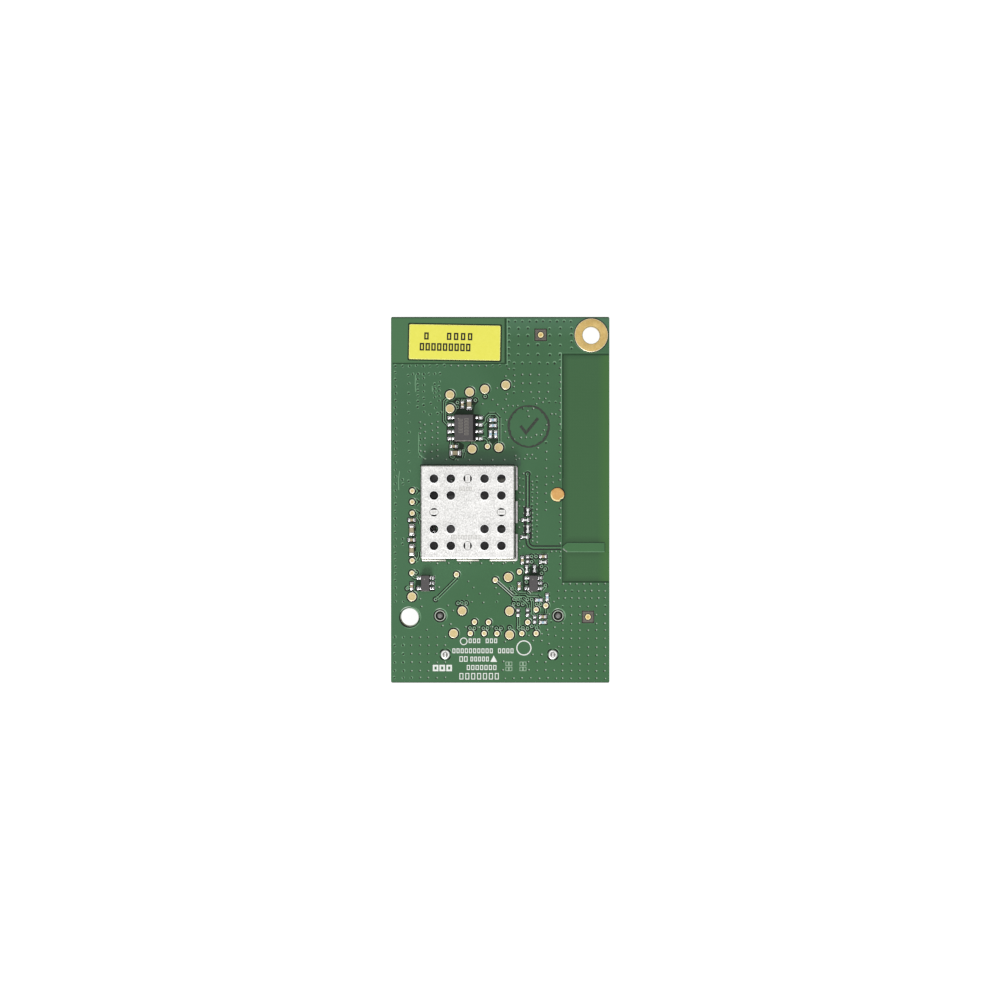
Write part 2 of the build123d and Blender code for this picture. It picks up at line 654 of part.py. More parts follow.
# Memory chip and the two regulators
memory_body = moulded_body(MEMORY_AT, MEMORY_W, MEMORY_L, MEMORY_H, MEMORY_BEVEL)
memory_leads = gull_leads(
    MEMORY_AT, MEMORY_W, MEMORY_H, MEMORY_SPAN, MEMORY_LEAD_W, MEMORY_ROWS, MEMORY_ROWS,
)
left_regulator_body = moulded_body(LEFT_REGULATOR_AT, REGULATOR_W, REGULATOR_L, REGULATOR_H, 0)
left_regulator_leads = gull_leads(
    LEFT_REGULATOR_AT, REGULATOR_W, REGULATOR_H, REGULATOR_SPAN, REGULATOR_LEAD_W,
    REGULATOR_LEFT_ROWS, REGULATOR_RIGHT_ROWS,
)
right_regulator_body = moulded_body(RIGHT_REGULATOR_AT, REGULATOR_W, REGULATOR_L, REGULATOR_H, 0)
right_regulator_leads = gull_leads(
    RIGHT_REGULATOR_AT, REGULATOR_W, REGULATOR_H, REGULATOR_SPAN, REGULATOR_LEAD_W,
    REGULATOR_LEFT_ROWS, REGULATOR_RIGHT_ROWS,
)

# Chip parts on the open board
large_cap_bodies = chip_bodies(LARGE_CAPS, LARGE_CAP_L, LARGE_CAP_W, LARGE_CAP_H, LARGE_CAP_END)
large_cap_ends = chip_ends(LARGE_CAPS, LARGE_CAP_L, LARGE_CAP_W, LARGE_CAP_H, LARGE_CAP_END)
small_cap_bodies = chip_bodies(SMALL_CAPS, SMALL_CAP_L, SMALL_CAP_W, SMALL_CAP_H, SMALL_END)
small_cap_ends = chip_ends(SMALL_CAPS, SMALL_CAP_L, SMALL_CAP_W, SMALL_CAP_H, SMALL_END)
resistor_bodies = chip_bodies(RESISTORS, SMALL_CAP_L, SMALL_CAP_W, RESISTOR_H, SMALL_END)
resistor_ends = chip_ends(RESISTORS, SMALL_CAP_L, SMALL_CAP_W, RESISTOR_H, SMALL_END)
matching_bodies = chip_bodies(MATCHING_PARTS, SMALL_CAP_L, SMALL_CAP_W, SMALL_CAP_H, SMALL_END)
matching_ends = chip_ends(MATCHING_PARTS, SMALL_CAP_L, SMALL_CAP_W, SMALL_CAP_H, SMALL_END)

# Solder lands under every soldered part on the top face
with BuildPart() as solder_lands:
    with BuildSketch(Plane.XY.offset(TOP_Z)):
        add_lands(LARGE_CAPS, LARGE_CAP_L, LARGE_CAP_W, LARGE_CAP_END)
        add_lands(SMALL_CAPS + RESISTORS + MATCHING_PARTS, SMALL_CAP_L, SMALL_CAP_W, SMALL_END)
        add_lands(INNER_CAPS, SMALL_CAP_L, SMALL_CAP_W, SMALL_END)
        add_lead_lands(MEMORY_AT, MEMORY_SPAN, MEMORY_LEAD_W, MEMORY_ROWS, MEMORY_ROWS)
        for place in (LEFT_REGULATOR_AT, RIGHT_REGULATOR_AT):
            add_lead_lands(
                place, REGULATOR_SPAN, REGULATOR_LEAD_W, REGULATOR_LEFT_ROWS, REGULATOR_RIGHT_ROWS,
            )
    extrude(amount=LAND_T)

# Connector housing: plug shroud at the board's edge, ears with locating pegs behind it
with BuildPart() as connector_housing:
    with BuildSketch(Plane.XY):
        with Locations((CONNECTOR_X, HOUSING_FRONT_Y)):
            Rectangle(SHROUD_W, HOUSING_BACK_Y - HOUSING_FRONT_Y, align=(Align.CENTER, Align.MIN))
        with Locations((CONNECTOR_X, HOUSING_BACK_Y)):
            Rectangle(EAR_SPAN, EAR_L, align=(Align.CENTER, Align.MAX))
    extrude(amount=CONNECTOR_H)
    with BuildSketch(Plane.XY.offset(CONNECTOR_H)):
        with Locations(*PEGS):
            RegularPolygon(PEG_D / 2, MEDIUM_SIDES)
    extrude(amount=BOARD_T - PEG_BELOW_TOP)
    chamfer(connector_housing.faces().sort_by(Axis.Z)[-2:].edges(), length=PEG_TIP)
    with BuildSketch(Plane.XZ.offset(-HOUSING_FRONT_Y)):
        with Locations((CONNECTOR_X, MOUTH_MID_Z)):
            Rectangle(MOUTH_W, MOUTH_H)
    extrude(amount=-MOUTH_DEPTH, mode=Mode.SUBTRACT)
    mouth_edges = connector_housing.faces().sort_by(Axis.Y)[0].inner_wires().edges()
    chamfer(mouth_edges, length=MOUTH_LEAD)
    with BuildSketch(Plane.XY):
        with Locations((CONNECTOR_X, HOUSING_FRONT_Y)):
            Rectangle(KEY_W, KEY_DEPTH, align=(Align.CENTER, Align.MIN))
    extrude(amount=MOUTH_WALL, mode=Mode.SUBTRACT)
    for row in (0, 1):
        with BuildSketch(Plane.XZ.offset(-(HOUSING_FRONT_Y + MOUTH_DEPTH))):
            with Locations(*[(x, contact_row_z(row)) for x in contact_columns(row)]):
                Rectangle(CONTACT_W, CONTACT_T)
        extrude(amount=-(HOUSING_BACK_Y - HOUSING_FRONT_Y - MOUTH_DEPTH), mode=Mode.SUBTRACT)

# Connector contacts: flat blades through the back wall, up to feet soldered under the board
with BuildPart() as connector_contacts:
    foot_top = BOARD_Z - LAND_T
    for row in (0, 1):
        low = contact_row_z(row) - CONTACT_T / 2
        high = low + CONTACT_T
        side_view = [
            (HOUSING_FRONT_Y + CONTACT_IN, low), (RISER_Y + CONTACT_T, low),
            (RISER_Y + CONTACT_T, foot_top - CONTACT_T), (CONTACT_END_Y, foot_top - CONTACT_T),
            (CONTACT_END_Y, foot_top), (RISER_Y, foot_top),
            (RISER_Y, high), (HOUSING_FRONT_Y + CONTACT_IN, high),
        ]
        for x in contact_columns(row):
            with BuildSketch(Plane.YZ.offset(x)):
                with BuildLine():
                    Polyline(*side_view, close=True)
                make_face()
            extrude(amount=CONTACT_W / 2, both=True)

# Lands under the contact feet, on the board's underside
with BuildPart() as contact_lands:
    with BuildSketch(Plane.XY.offset(BOARD_Z - LAND_T)):
        for row in (0, 1):
            with Locations(*[(x, RISER_Y) for x in contact_columns(row)]):
                land_l = CONTACT_END_Y - RISER_Y + LAND_REACH
                Rectangle(CONTACT_W + 2 * END_WRAP, land_l, align=(Align.CENTER, Align.MIN))
    extrude(amount=LAND_T)

# Hold-down tabs: plates beside the shroud, each with a leg up through the board
with BuildPart() as hold_down_tabs:
    for x, y in TABS:
        with BuildSketch(Plane.YZ.offset(x)):
            with Locations((y, TAB_RAISE)):
                Rectangle(TAB_L, BOARD_Z - TAB_RAISE, align=(Align.CENTER, Align.MIN))
            with Locations((y, BOARD_Z)):
                Rectangle(TAB_LEG_W, BOARD_T + TAB_ABOVE, align=(Align.CENTER, Align.MIN))
        extrude(amount=TAB_T / 2, both=True)

# Solder cones round the hold-down legs, on the top face
with BuildPart() as hold_down_solder:
    with BuildSketch(Plane.XY.offset(TOP_Z)):
        with Locations(*TABS):
            RegularPolygon(SOLDER_D / 2, MEDIUM_SIDES)
    extrude(amount=SOLDER_H, taper=SOLDER_SLOPE)
    with BuildSketch(Plane.XY.offset(TOP_Z)):
        with Locations(*TABS):
            Rectangle(TAB_T, TAB_LEG_W)
    extrude(amount=SOLDER_H, mode=Mode.SUBTRACT)

NODES = {
    "circuit_board": circuit_board,
    "ground_ring": ground_ring,
    "large_test_pads": large_test_pads,
    "small_test_pads": small_test_pads,
    "fiducial_dots": fiducial_dots,
    "inspection_spot": inspection_spot,
    "stamp_ring": stamp_ring,
    "yellow_label": yellow_label,
    "shield_cover": shield_cover,
    "shield_frame": shield_frame,
    "radio_chip": radio_chip,
    "crystal": crystal,
    "supply_coil": supply_coil,
    "antenna_filter": antenna_filter,
    "inner_cap_bodies": inner_cap_bodies,
    "inner_cap_ends": inner_cap_ends,
    "memory_body": memory_body,
    "memory_leads": memory_leads,
    "left_regulator_body": left_regulator_body,
    "left_regulator_leads": left_regulator_leads,
    "right_regulator_body": right_regulator_body,
    "right_regulator_leads": right_regulator_leads,
    "large_cap_bodies": large_cap_bodies,
    "large_cap_ends": large_cap_ends,
    "small_cap_bodies": small_cap_bodies,
    "small_cap_ends": small_cap_ends,
    "resistor_bodies": resistor_bodies,
    "resistor_ends": resistor_ends,
    "matching_bodies": matching_bodies,
    "matching_ends": matching_ends,
    "solder_lands": solder_lands,
    "connector_housing": connector_housing,
    "connector_contacts": connector_contacts,
    "contact_lands": contact_lands,
    "hold_down_tabs": hold_down_tabs,
    "hold_down_solder": hold_down_solder,
}

os.makedirs("parts", exist_ok=True)
for name, piece in NODES.items():
    piece.part.label = name
    export_step(piece.part, f"parts/{name}.step")
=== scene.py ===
import math
import random

import bmesh
import bpy
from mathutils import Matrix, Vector


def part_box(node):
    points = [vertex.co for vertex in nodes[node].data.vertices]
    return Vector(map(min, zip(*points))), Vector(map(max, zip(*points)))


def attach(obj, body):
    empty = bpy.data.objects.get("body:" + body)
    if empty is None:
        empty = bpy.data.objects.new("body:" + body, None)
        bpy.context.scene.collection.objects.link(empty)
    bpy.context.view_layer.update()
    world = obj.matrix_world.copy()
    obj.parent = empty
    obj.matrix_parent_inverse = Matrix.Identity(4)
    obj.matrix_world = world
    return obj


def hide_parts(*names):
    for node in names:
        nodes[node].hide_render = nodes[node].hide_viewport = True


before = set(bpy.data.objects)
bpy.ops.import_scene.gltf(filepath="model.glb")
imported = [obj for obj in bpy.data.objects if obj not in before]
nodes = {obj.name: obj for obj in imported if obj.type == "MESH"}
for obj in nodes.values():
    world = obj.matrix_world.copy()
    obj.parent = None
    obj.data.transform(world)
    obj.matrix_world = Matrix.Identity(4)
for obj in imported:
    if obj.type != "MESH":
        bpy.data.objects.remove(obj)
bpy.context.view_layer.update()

# Sizes are in millimetres until a mesh is made
MM = 0.001
random.seed(7)


class Box:
    """A box in millimetres: its corners, the middle of its plan and half its sides."""

    def __init__(self, lo, hi):
        self.lo, self.hi = lo, hi
        self.x, self.y = (lo.x + hi.x) / 2, (lo.y + hi.y) / 2
        self.hx, self.hy = (hi.x - lo.x) / 2, (hi.y - lo.y) / 2


def box_mm(node):
    """The box of a whole CAD node."""
    return Box(*(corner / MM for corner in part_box(node)))


board = box_mm("circuit_board")
TOP, UNDER = board.hi.z, board.lo.z
HALF_W, HALF_L = board.hi.x, board.hi.y

# Photo measures: pixels per millimetre and the pixel of the board's middle
PHOTO_SCALE = 5.46
PHOTO_MID_X, PHOTO_MID_Y = 500.2, 499.8


def spot(px, py):
    """A place on the board from its place in the photo."""
    return (px - PHOTO_MID_X) / PHOTO_SCALE, (PHOTO_MID_Y - py) / PHOTO_SCALE


def spots(*numbers):
    """Places on the board from photo places, given as x and y in turn."""
    return [spot(px, py) for px, py in zip(numbers[::2], numbers[1::2])]


# How bright this light shows paint and metal, and how much overhead light paint and mask reflect
PAINT_LIGHT, METAL_LIGHT = 1.18, 1.08
PAINT_GLOSS, MASK_GLOSS = 0.02, 0.037


def linear(rgb):
    """Linear colour from a screen colour of 0 to 255."""
    return [c / 12.92 if c <= 0.04045 else ((c + 0.055) / 1.055) ** 2.4 for c in (v / 255 for v in rgb)]


def paint(rgb, gloss=PAINT_GLOSS):
    """Base colour that shows as the given screen colour under this scene's light."""
    return tuple(max((c - gloss) / PAINT_LIGHT, 0.004) for c in linear(rgb)) + (1.0,)


def mask_paint(rgb):
    return paint(rgb, MASK_GLOSS)


def metal_color(rgb):
    """Metal base colour that shows as the given screen colour under the light overhead."""
    return tuple(min(c / METAL_LIGHT, 0.98) for c in linear(rgb)) + (1.0,)


LOOKS = {}


class Look:
    """A material under construction."""

    def __init__(self, name):
        self.name = name
        self.mat = bpy.data.materials.new(name)
        self.mat.use_nodes = True
        self.tree = self.mat.node_tree
        self.shader = self.tree.nodes["Principled BSDF"]
        self.coord = self.tree.nodes.new("ShaderNodeTexCoord").outputs["Object"]

    def node(self, kind, **values):
        made = self.tree.nodes.new(kind)
        for key, value in values.items():
            setattr(made, key, value)
        return made

    def feed(self, socket, value):
        """Links an output to a socket, or sets a plain value on it."""
        if isinstance(value, bpy.types.NodeSocket):
            self.tree.links.new(value, socket)
        else:
            socket.default_value = value

    def math(self, operation, *values):
        """The values taken together two by two by one operation."""
        out = values[0]
        for value in values[1:]:
            made = self.node("ShaderNodeMath", operation=operation)
            self.feed(made.inputs[0], out)
            self.feed(made.inputs[1], value)
            out = made.outputs[0]
        return out

    def times(self, *values):
        return self.math("MULTIPLY", *values)

    def most(self, *values):
        return self.math("MAXIMUM", *values)

    def past(self, axis, mm):
        """1 where the axis is past a place, else 0."""
        return self.math("GREATER_THAN", axis, mm * MM)

    def before(self, axis, mm):
        """1 where the axis is before a place, else 0."""
        return self.math("LESS_THAN", axis, mm * MM)

    def ramp(self, axis, none_mm, full_mm):
        """From 0 at one place to 1 at another."""
        return self.span(axis, none_mm * MM, full_mm * MM)

    def mix(self, share, a, b):
        made = self.node("ShaderNodeMix", data_type="RGBA")
        for slot, value in ((0, share), (6, a), (7, b)):
            self.feed(made.inputs[slot], value)
        return made.outputs[2]

    def tinted(self, color, zones):
        """A colour mixed in zones towards other tones of mask, each zone given by its shares and its colour.
        """
        for shares, rgb in zones:
            color = self.mix(self.times(*shares), color, mask_paint(rgb))
        return color

    def noise(self, size_mm, detail=2.0, rough=0.5, stretch=(1, 1, 1)):
        """Smooth noise from 0 to 1 whose features are about this size."""
        mapping = self.node("ShaderNodeMapping")
        mapping.inputs["Scale"].default_value = stretch
        self.feed(mapping.inputs["Vector"], self.coord)
        made = self.node("ShaderNodeTexNoise")
        made.inputs["Scale"].default_value = 1 / (size_mm * MM)
        made.inputs["Detail"].default_value = detail
        made.inputs["Roughness"].default_value = rough
        self.feed(made.inputs["Vector"], mapping.outputs[0])
        return made.outputs[0]

    def cells(self, size_mm):
        """A flat random value from 0 to 1 in each cell of about this size."""
        made = self.node("ShaderNodeTexVoronoi")
        made.inputs["Scale"].default_value = 1 / (size_mm * MM)
        self.feed(made.inputs["Vector"], self.coord)
        parts = self.node("ShaderNodeSeparateColor")
        self.feed(parts.inputs[0], made.outputs["Color"])
        return parts.outputs[0]

    def span(self, value, low, high, to_low=0.0, to_high=1.0):
        """Maps a value from one span to another, held at the ends."""
        made = self.node("ShaderNodeMapRange")
        for slot, number in enumerate((value, low, high, to_low, to_high)):
            self.feed(made.inputs[slot], number)
        return made.outputs[0]

    def split(self, vector):
        """X, Y and Z of a vector."""
        made = self.node("ShaderNodeSeparateXYZ")
        self.feed(made.inputs[0], vector)
        return made.outputs[0], made.outputs[1], made.outputs[2]

    def normal(self):
        """X, Y and Z of the way the true surface faces."""
        return self.split(self.node("ShaderNodeNewGeometry").outputs["True Normal"])

    def bump(self, height, strength, depth_mm=0.02):
        made = self.node("ShaderNodeBump")
        made.inputs["Strength"].default_value = strength
        made.inputs["Distance"].default_value = depth_mm * MM
        self.feed(made.inputs["Height"], height)
        self.feed(self.shader.inputs["Normal"], made.outputs[0])

    def finish(self, color, rough, metal=0.0, specular=0.5):
        self.feed(self.shader.inputs["Base Color"], color)
        self.feed(self.shader.inputs["Roughness"], rough)
        self.shader.inputs["Metallic"].default_value = metal
        self.shader.inputs["Specular IOR Level"].default_value = specular
        LOOKS[self.name] = self.mat


def mask_look(name, dark, light):
    """Solder mask between two tones: the look and its colour."""
    look = Look(name)
    dark, light = mask_paint(dark), mask_paint(light)
    broad = look.span(look.noise(9.0), 0.35, 0.65)
    fine = look.span(look.noise(0.5, 3.0), 0.3, 0.7)
    tone = look.mix(look.times(broad, 0.6), dark, light)
    tone = look.mix(look.times(fine, 0.25), tone, dark)
    look.bump(look.noise(0.35), 0.12)
    return look, tone


def mask_strip(name, dark, light, rough=0.4, specular=0.35):
    look, tone = mask_look(name, dark, light)
    look.finish(tone, rough, 0.0, specular)


# The feed stub and the antenna area on the right, and the bare zone under the label
FEED_Y, FEED_HALF = -8.77, 0.79
KEEPOUT_X, KEEPOUT_TOP, KEEPOUT_END = 11.41, 26.67, -15.11
BARE_RIGHT, BARE_LOW = 1.08, 25.02


def board_look():
    """Green board: mask over the copper pour, darker bare laminate zones, pale laminate edges."""
    look, tone = mask_look("board_mask", (76, 114, 82), (82, 121, 89))
    x, y, z = look.split(look.coord)
    past, before, ramp, times = look.past, look.before, look.ramp, look.times
    cover = box_mm("shield_cover")
    on_top = past(z, TOP - 0.3)
    # The left side is paler and the lower end darker. Then a painted shadow behind the shield, grey
    # under its vents painted to stand in for the shade inside the cover, a paler painted reflection
    # along the upper right edge, and the brighter feed stub
    tone = look.tinted(tone, (
        ((ramp(x, 0.0, -HALF_W), 0.6), (84, 121, 93)),
        ((ramp(y, 0.0, -HALF_L), 0.4), (74, 114, 78)),
        # painted shadow behind the shield
        ((past(x, cover.lo.x), before(x, cover.hi.x + 0.6), past(y, cover.hi.y),
          ramp(y, cover.hi.y + 2.6, cover.hi.y), on_top), (77, 104, 87)),
        # grey under the vents: painted shade inside the cover
        ((past(x, cover.lo.x + 0.2), before(x, cover.hi.x - 0.7), past(y, cover.lo.y + 0.5),
          before(y, cover.hi.y - 0.2), on_top), (111, 109, 111)),
        # painted reflection along the upper right edge
        ((past(x, 1.2), ramp(y, 29.6, 32.6), on_top, 0.55), (96, 134, 108)),
        ((past(y, -9.7), before(y, -7.85), past(x, 11.45), on_top), (81, 123, 84)),
    ))
    # Zones without copper show the laminate's weave through the mask
    waves = []
    for way, scale in (("X", 620), ("Y", 560)):
        wave = look.node("ShaderNodeTexWave", bands_direction=way, wave_profile="SIN")
        wave.inputs["Scale"].default_value = scale
        look.feed(wave.inputs["Vector"], look.coord)
        waves.append(wave.outputs["Fac"])
    weave = times(*waves)
    bare = look.mix(times(weave, 0.16), mask_paint((75, 111, 77)), mask_paint((84, 119, 84)))
    # Painted shade darkens them below their upper step and painted light turns them greener at the
    # board's edge, with painted soft shade along the left and lower steps of the antenna area and on
    # both sides of the stub
    antenna = past(x, 11.3)
    shade = look.most(
        ramp(x, 12.6, KEEPOUT_X), ramp(y, -13.9, KEEPOUT_END),
        times(past(y, FEED_Y), ramp(y, -6.5, -7.9)), times(before(y, FEED_Y), ramp(y, -10.7, -9.6), 0.7),
    )
    bare = look.tinted(bare, (
        ((ramp(y, 20.0, 26.6), 0.35), (78, 116, 82)),
        ((ramp(y, 25.6, KEEPOUT_TOP), 0.5), (58, 88, 66)),
        ((antenna, shade), (68, 96, 70)),
        ((ramp(x, 12.3, KEEPOUT_X), 0.35), (60, 90, 66)),
        ((ramp(x, HALF_W - 2.2, HALF_W - 0.7), 0.8), (80, 121, 72)),
    ))
    # The zone under the label is paler, and the pocket of the radio line is dark
    paler = look.mix(times(weave, 0.2), mask_paint((88, 124, 90)), mask_paint((96, 133, 98)))
    paler = look.tinted(paler, [((ramp(x, 1.0, -HALF_W), 0.4), (86, 132, 92))])
    bare = look.mix(times(before(x, 2.0), past(y, 24.0)), bare, paler)
    bare = look.tinted(bare, [((before(x, 11.4), before(y, 20.0)), (36, 46, 40))])
    tone = look.mix(times(before(z, TOP - 0.025), past(z, TOP - 0.2)), tone, bare)
    # Cut edges show the glass-fibre laminate in layers
    flatness = look.math("ABSOLUTE", look.normal()[2], 0.0)
    layers = look.span(look.noise(0.12, stretch=(0.1, 0.1, 1.0)), 0.35, 0.65)
    laminate = look.mix(layers, paint((132, 138, 84)), paint((170, 168, 118)))
    edge = times(look.math("LESS_THAN", flatness, 0.5), before(z, TOP - 0.04), past(z, UNDER + 0.03))
    look.finish(look.mix(edge, tone, laminate), look.span(edge, 0.0, 1.0, 0.42, 0.75), 0.0, 0.35)


def grained(name, dark, light, rough, metal, size=0.2, strength=0.2, specular=0.5, gloss=PAINT_GLOSS):
    """Fine-grained surface between two colours, with its roughness varied a little."""
    look = Look(name)
    colors = [metal_color(rgb) if metal else paint(rgb, gloss) for rgb in (dark, light)]
    color = look.mix(look.span(look.noise(size, 3.0), 0.3, 0.7), *colors)
    wear = look.span(look.noise(size * 3), 0.3, 0.7, max(rough - 0.12, 0.05), min(rough + 0.12, 1.0))
    look.bump(look.noise(size * 0.5, 3.0), strength)
    look.finish(color, wear, metal, specular)


def tin_look(name, dark, light, rough):
    """Tin-plated sheet: small crystals that each catch the light a little differently."""
    look = Look(name)
    dark, light = metal_color(dark), metal_color(light)
    sparkle = look.cells(0.2)
    fine = look.span(look.noise(0.2, 3.0, 0.75, (1.0, 0.6, 1.0)), 0.38, 0.62)
    cloud = look.span(look.noise(2.6), 0.35, 0.65)
    color = look.mix(look.times(look.math("ADD", sparkle, fine), 0.5), dark, light)
    color = look.mix(look.times(cloud, 0.2), color, light)
    look.bump(fine, 0.1)
    look.finish(color, look.span(sparkle, 0.0, 1.0, rough - 0.05, rough + 0.05), 1.0)


def mould_look(name):
    """Moulded epoxy, darker on slopes to the right in painted shade and paler on slopes towards the light in
    a painted highlight.
    """
    look = Look(name)
    color = look.mix(look.span(look.noise(0.12, 3.0), 0.3, 0.7), paint((84, 81, 82)), paint((99, 96, 97)))
    right, back = look.normal()[:2]
    color = look.mix(look.span(right, 0.25, 0.5), color, paint((40, 37, 39), 0.012))
    color = look.mix(look.span(back, -0.25, -0.5), color, paint((150, 146, 142)))
    look.bump(look.noise(0.06, 3.0), 0.3)
    look.finish(color, look.span(look.noise(0.36), 0.3, 0.7, 0.52, 0.72), 0.0, 0.35)


def gold_look(name, dark, light, rough, size=0.25):
    """Matt gold plating over etched copper."""
    look = Look(name)
    color = look.mix(look.span(look.noise(size, 3.0), 0.3, 0.7), metal_color(dark), metal_color(light))
    look.bump(look.noise(0.08), 0.15, 0.01)
    look.finish(color, look.span(look.noise(size * 4), 0.3, 0.7, rough - 0.07, rough + 0.07), 1.0)


board_look()
mould_look("moulded_epoxy")
mask_strip("mask_over_copper", (77, 114, 82), (84, 122, 89))
# Painted highlights on the mask: soft, lit and bright lines, and the lit sides of vias
mask_strip("mask_soft_edge", (84, 124, 90), (93, 134, 99))
mask_strip("mask_lit_edge", (122, 166, 129), (140, 184, 147), 0.35, 0.5)
mask_strip("mask_bright_edge", (196, 212, 195), (218, 230, 217), 0.35, 0.5)
mask_strip("via_lit_side", (158, 178, 158), (186, 200, 186), 0.35, 0.5)
mask_strip("via_dark_side", (46, 64, 50), (54, 74, 58))
# Dark gaps in the copper, also used for painted shade and shadow
mask_strip("mask_gap", (30, 40, 34), (38, 50, 42), 0.5, 0.2)
mask_strip("mask_step_shade", (62, 86, 66), (68, 93, 71), 0.5, 0.25)
# Darker mask without copper, also used for painted shade and shadow
mask_strip("mask_between_pads", (50, 68, 55), (60, 82, 66), 0.5, 0.25)
gold_look("ring_gold", (196, 166, 102), (214, 186, 124), 0.42, 0.5)
gold_look("pad_gold", (194, 174, 124), (212, 194, 148), 0.42)
# Bright rims of pads, rings and fiducial dots: painted highlights
gold_look("pad_rim", (238, 233, 200), (250, 247, 224), 0.45)
gold_look("fiducial_rim", (236, 220, 160), (250, 238, 188), 0.45)
gold_look("contact_gold", (206, 176, 108), (226, 198, 134), 0.28)
tin_look("tin_sheet", (176, 175, 173), (254, 253, 251), 0.42)
# Rolled rims of the vents: a painted highlight
tin_look("tin_rim", (250, 250, 250), (255, 255, 255), 0.4)
tin_look("tin_foot", (176, 176, 164), (208, 208, 196), 0.46)
tin_look("tin_pressed_line", (112, 112, 110), (138, 138, 134), 0.42)
tin_look("tin_etched_mark", (176, 175, 171), (204, 202, 198), 0.42)
tin_look("tin_in_shade", (44, 44, 46), (66, 66, 66), 0.5)
# Metals: name, darker and lighter tone, roughness, 1 for metal, size and depth of the grain
for row in (
    ("solder", (226, 226, 228), (255, 255, 255), 0.26, 1, 0.5, 0.03),
    ("solder_in_shade", (132, 130, 128), (164, 160, 156), 0.4, 1, 0.3, 0.08),
    # Solder on the parts under the cover: dark as painted shade
    ("solder_under_cover", (64, 64, 64), (88, 87, 85), 0.5, 1, 0.3, 0.08),
    ("solder_collar", (214, 214, 212), (246, 246, 244), 0.46, 1, 0.3, 0.06),
    ("lead_bend", (120, 104, 78), (150, 132, 102), 0.4, 1, 0.2, 0.1),
    ("lead_bend_dark", (34, 33, 32), (54, 52, 50), 0.4, 1, 0.2, 0.1),
    # The crystal's can: dark metal as painted shade under the cover
    ("crystal_can", (84, 82, 78), (100, 98, 94), 0.42, 1, 0.4, 0.15),
    # Others: the same, then their shine, and how much overhead light their tones hold already
    ("radio_epoxy", (114, 112, 114), (130, 128, 130), 0.6, 0, 0.2, 0.3),
    ("moulded_mark", (124, 120, 114), (142, 138, 130), 0.6, 0, 0.12, 0.3),
    ("black_nylon", (30, 30, 31), (42, 42, 43), 0.45, 0, 0.2, 0.3, 0.5, 0.005),
    ("peg_nylon", (98, 96, 95), (146, 144, 142), 0.5, 0, 0.2, 0.3),
    ("hole_in_shade", (24, 22, 24), (34, 32, 34), 0.6, 0, 0.2, 0.2, 0.5, 0.005),
    ("bare_edge", (176, 188, 172), (200, 210, 196), 0.5, 0),
    ("spot_paint", (218, 166, 96), (230, 180, 112), 0.5, 0, 0.6, 0.2, 0.4),
    ("spot_rim", (236, 214, 150), (246, 228, 170), 0.5, 0, 0.3, 0.2, 0.4),
    ("stamp_ink", (56, 62, 56), (74, 82, 72), 0.6, 0, 0.25, 0.2, 0.3, 0.012),
    ("label_paper", (244, 240, 98), (248, 244, 104), 0.55, 0, 0.5, 0.04, 0.4),
    ("label_rim", (248, 246, 136), (250, 248, 150), 0.55, 0, 0.5, 0.04, 0.4),
    ("label_ink", (24, 22, 30), (38, 36, 40), 0.6, 0, 0.2, 0.1, 0.3, 0.01),
    ("white_legend", (226, 230, 224), (244, 246, 242), 0.6, 0, 0.2, 0.2, 0.3),
    ("faint_legend", (150, 178, 152), (178, 200, 178), 0.6, 0, 0.2, 0.2, 0.3),
    ("bare_laminate", (88, 84, 78), (132, 127, 120), 0.6, 0, 0.16, 0.3, 0.3),
    ("laminate_border", (50, 52, 48), (64, 64, 60), 0.6, 0, 0.2, 0.3, 0.3),
    ("fired_ceramic", (146, 136, 108), (178, 168, 140), 0.45, 0, 0.2, 0.15),
    ("pale_fired_ceramic", (160, 144, 110), (196, 182, 150), 0.45, 0, 0.2, 0.15),
    ("blue_glaze", (150, 184, 208), (178, 206, 226), 0.3, 0, 0.2, 0.1),
    ("black_glaze", (38, 36, 38), (56, 54, 56), 0.3, 0, 0.2, 0.1, 0.5, 0.01),
    ("white_alumina", (222, 222, 220), (240, 240, 238), 0.45, 0, 0.2, 0.1),
    ("glass_ceramic", (222, 224, 222), (242, 244, 242), 0.4, 0, 0.2, 0.1),
    ("ferrite", (52, 52, 54), (66, 66, 68), 0.55, 0, 0.2, 0.3, 0.4),
    # Ceramic parts under the cover: dark as painted shade
    ("pale_ceramic", (66, 64, 60), (78, 76, 72), 0.55, 0),
):
    grained(*row)

# Looks of lines on the mask: plain mask, dark gaps also used as painted shade, painted soft, lit and bright
# highlights, and painted step shade
EDGES = "mask_over_copper mask_gap mask_soft_edge mask_lit_edge mask_bright_edge mask_step_shade"
GAP_AND_SHADE, SOFT_LIT, LIT, GLINT, SHADE = range(1, 6)


# Mesh tools
def piece(name, mesh, looks, smooth_angle=None, node=None):
    """Turns a bmesh in millimetres into a piece that rides on the body, in place of a CAD node if given."""
    bmesh.ops.recalc_face_normals(mesh, faces=mesh.faces)
    bmesh.ops.scale(mesh, vec=(MM, MM, MM), verts=mesh.verts)
    data = bpy.data.meshes.new(name)
    mesh.to_mesh(data)
    mesh.free()
    for look in looks.split():
        data.materials.append(LOOKS[look])
    if smooth_angle is not None:
        data.shade_smooth()
        data.set_sharp_from_angle(angle=math.radians(smooth_angle))
    made = bpy.data.objects.new(name, data)
    bpy.context.scene.collection.objects.link(made)
    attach(made, "root")
    if node:
        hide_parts(node)
    return made


def soften(made, width_mm, angle):
    """Rounds the edges that turn by more than an angle."""
    soft = made.modifiers.new("soft_edges", "BEVEL")
    soft.width = width_mm * MM
    soft.segments = 2
    soft.limit_method = "ANGLE"
    soft.angle_limit = math.radians(angle)


def ring_of(mesh, points):
    return [mesh.verts.new(p) for p in points]


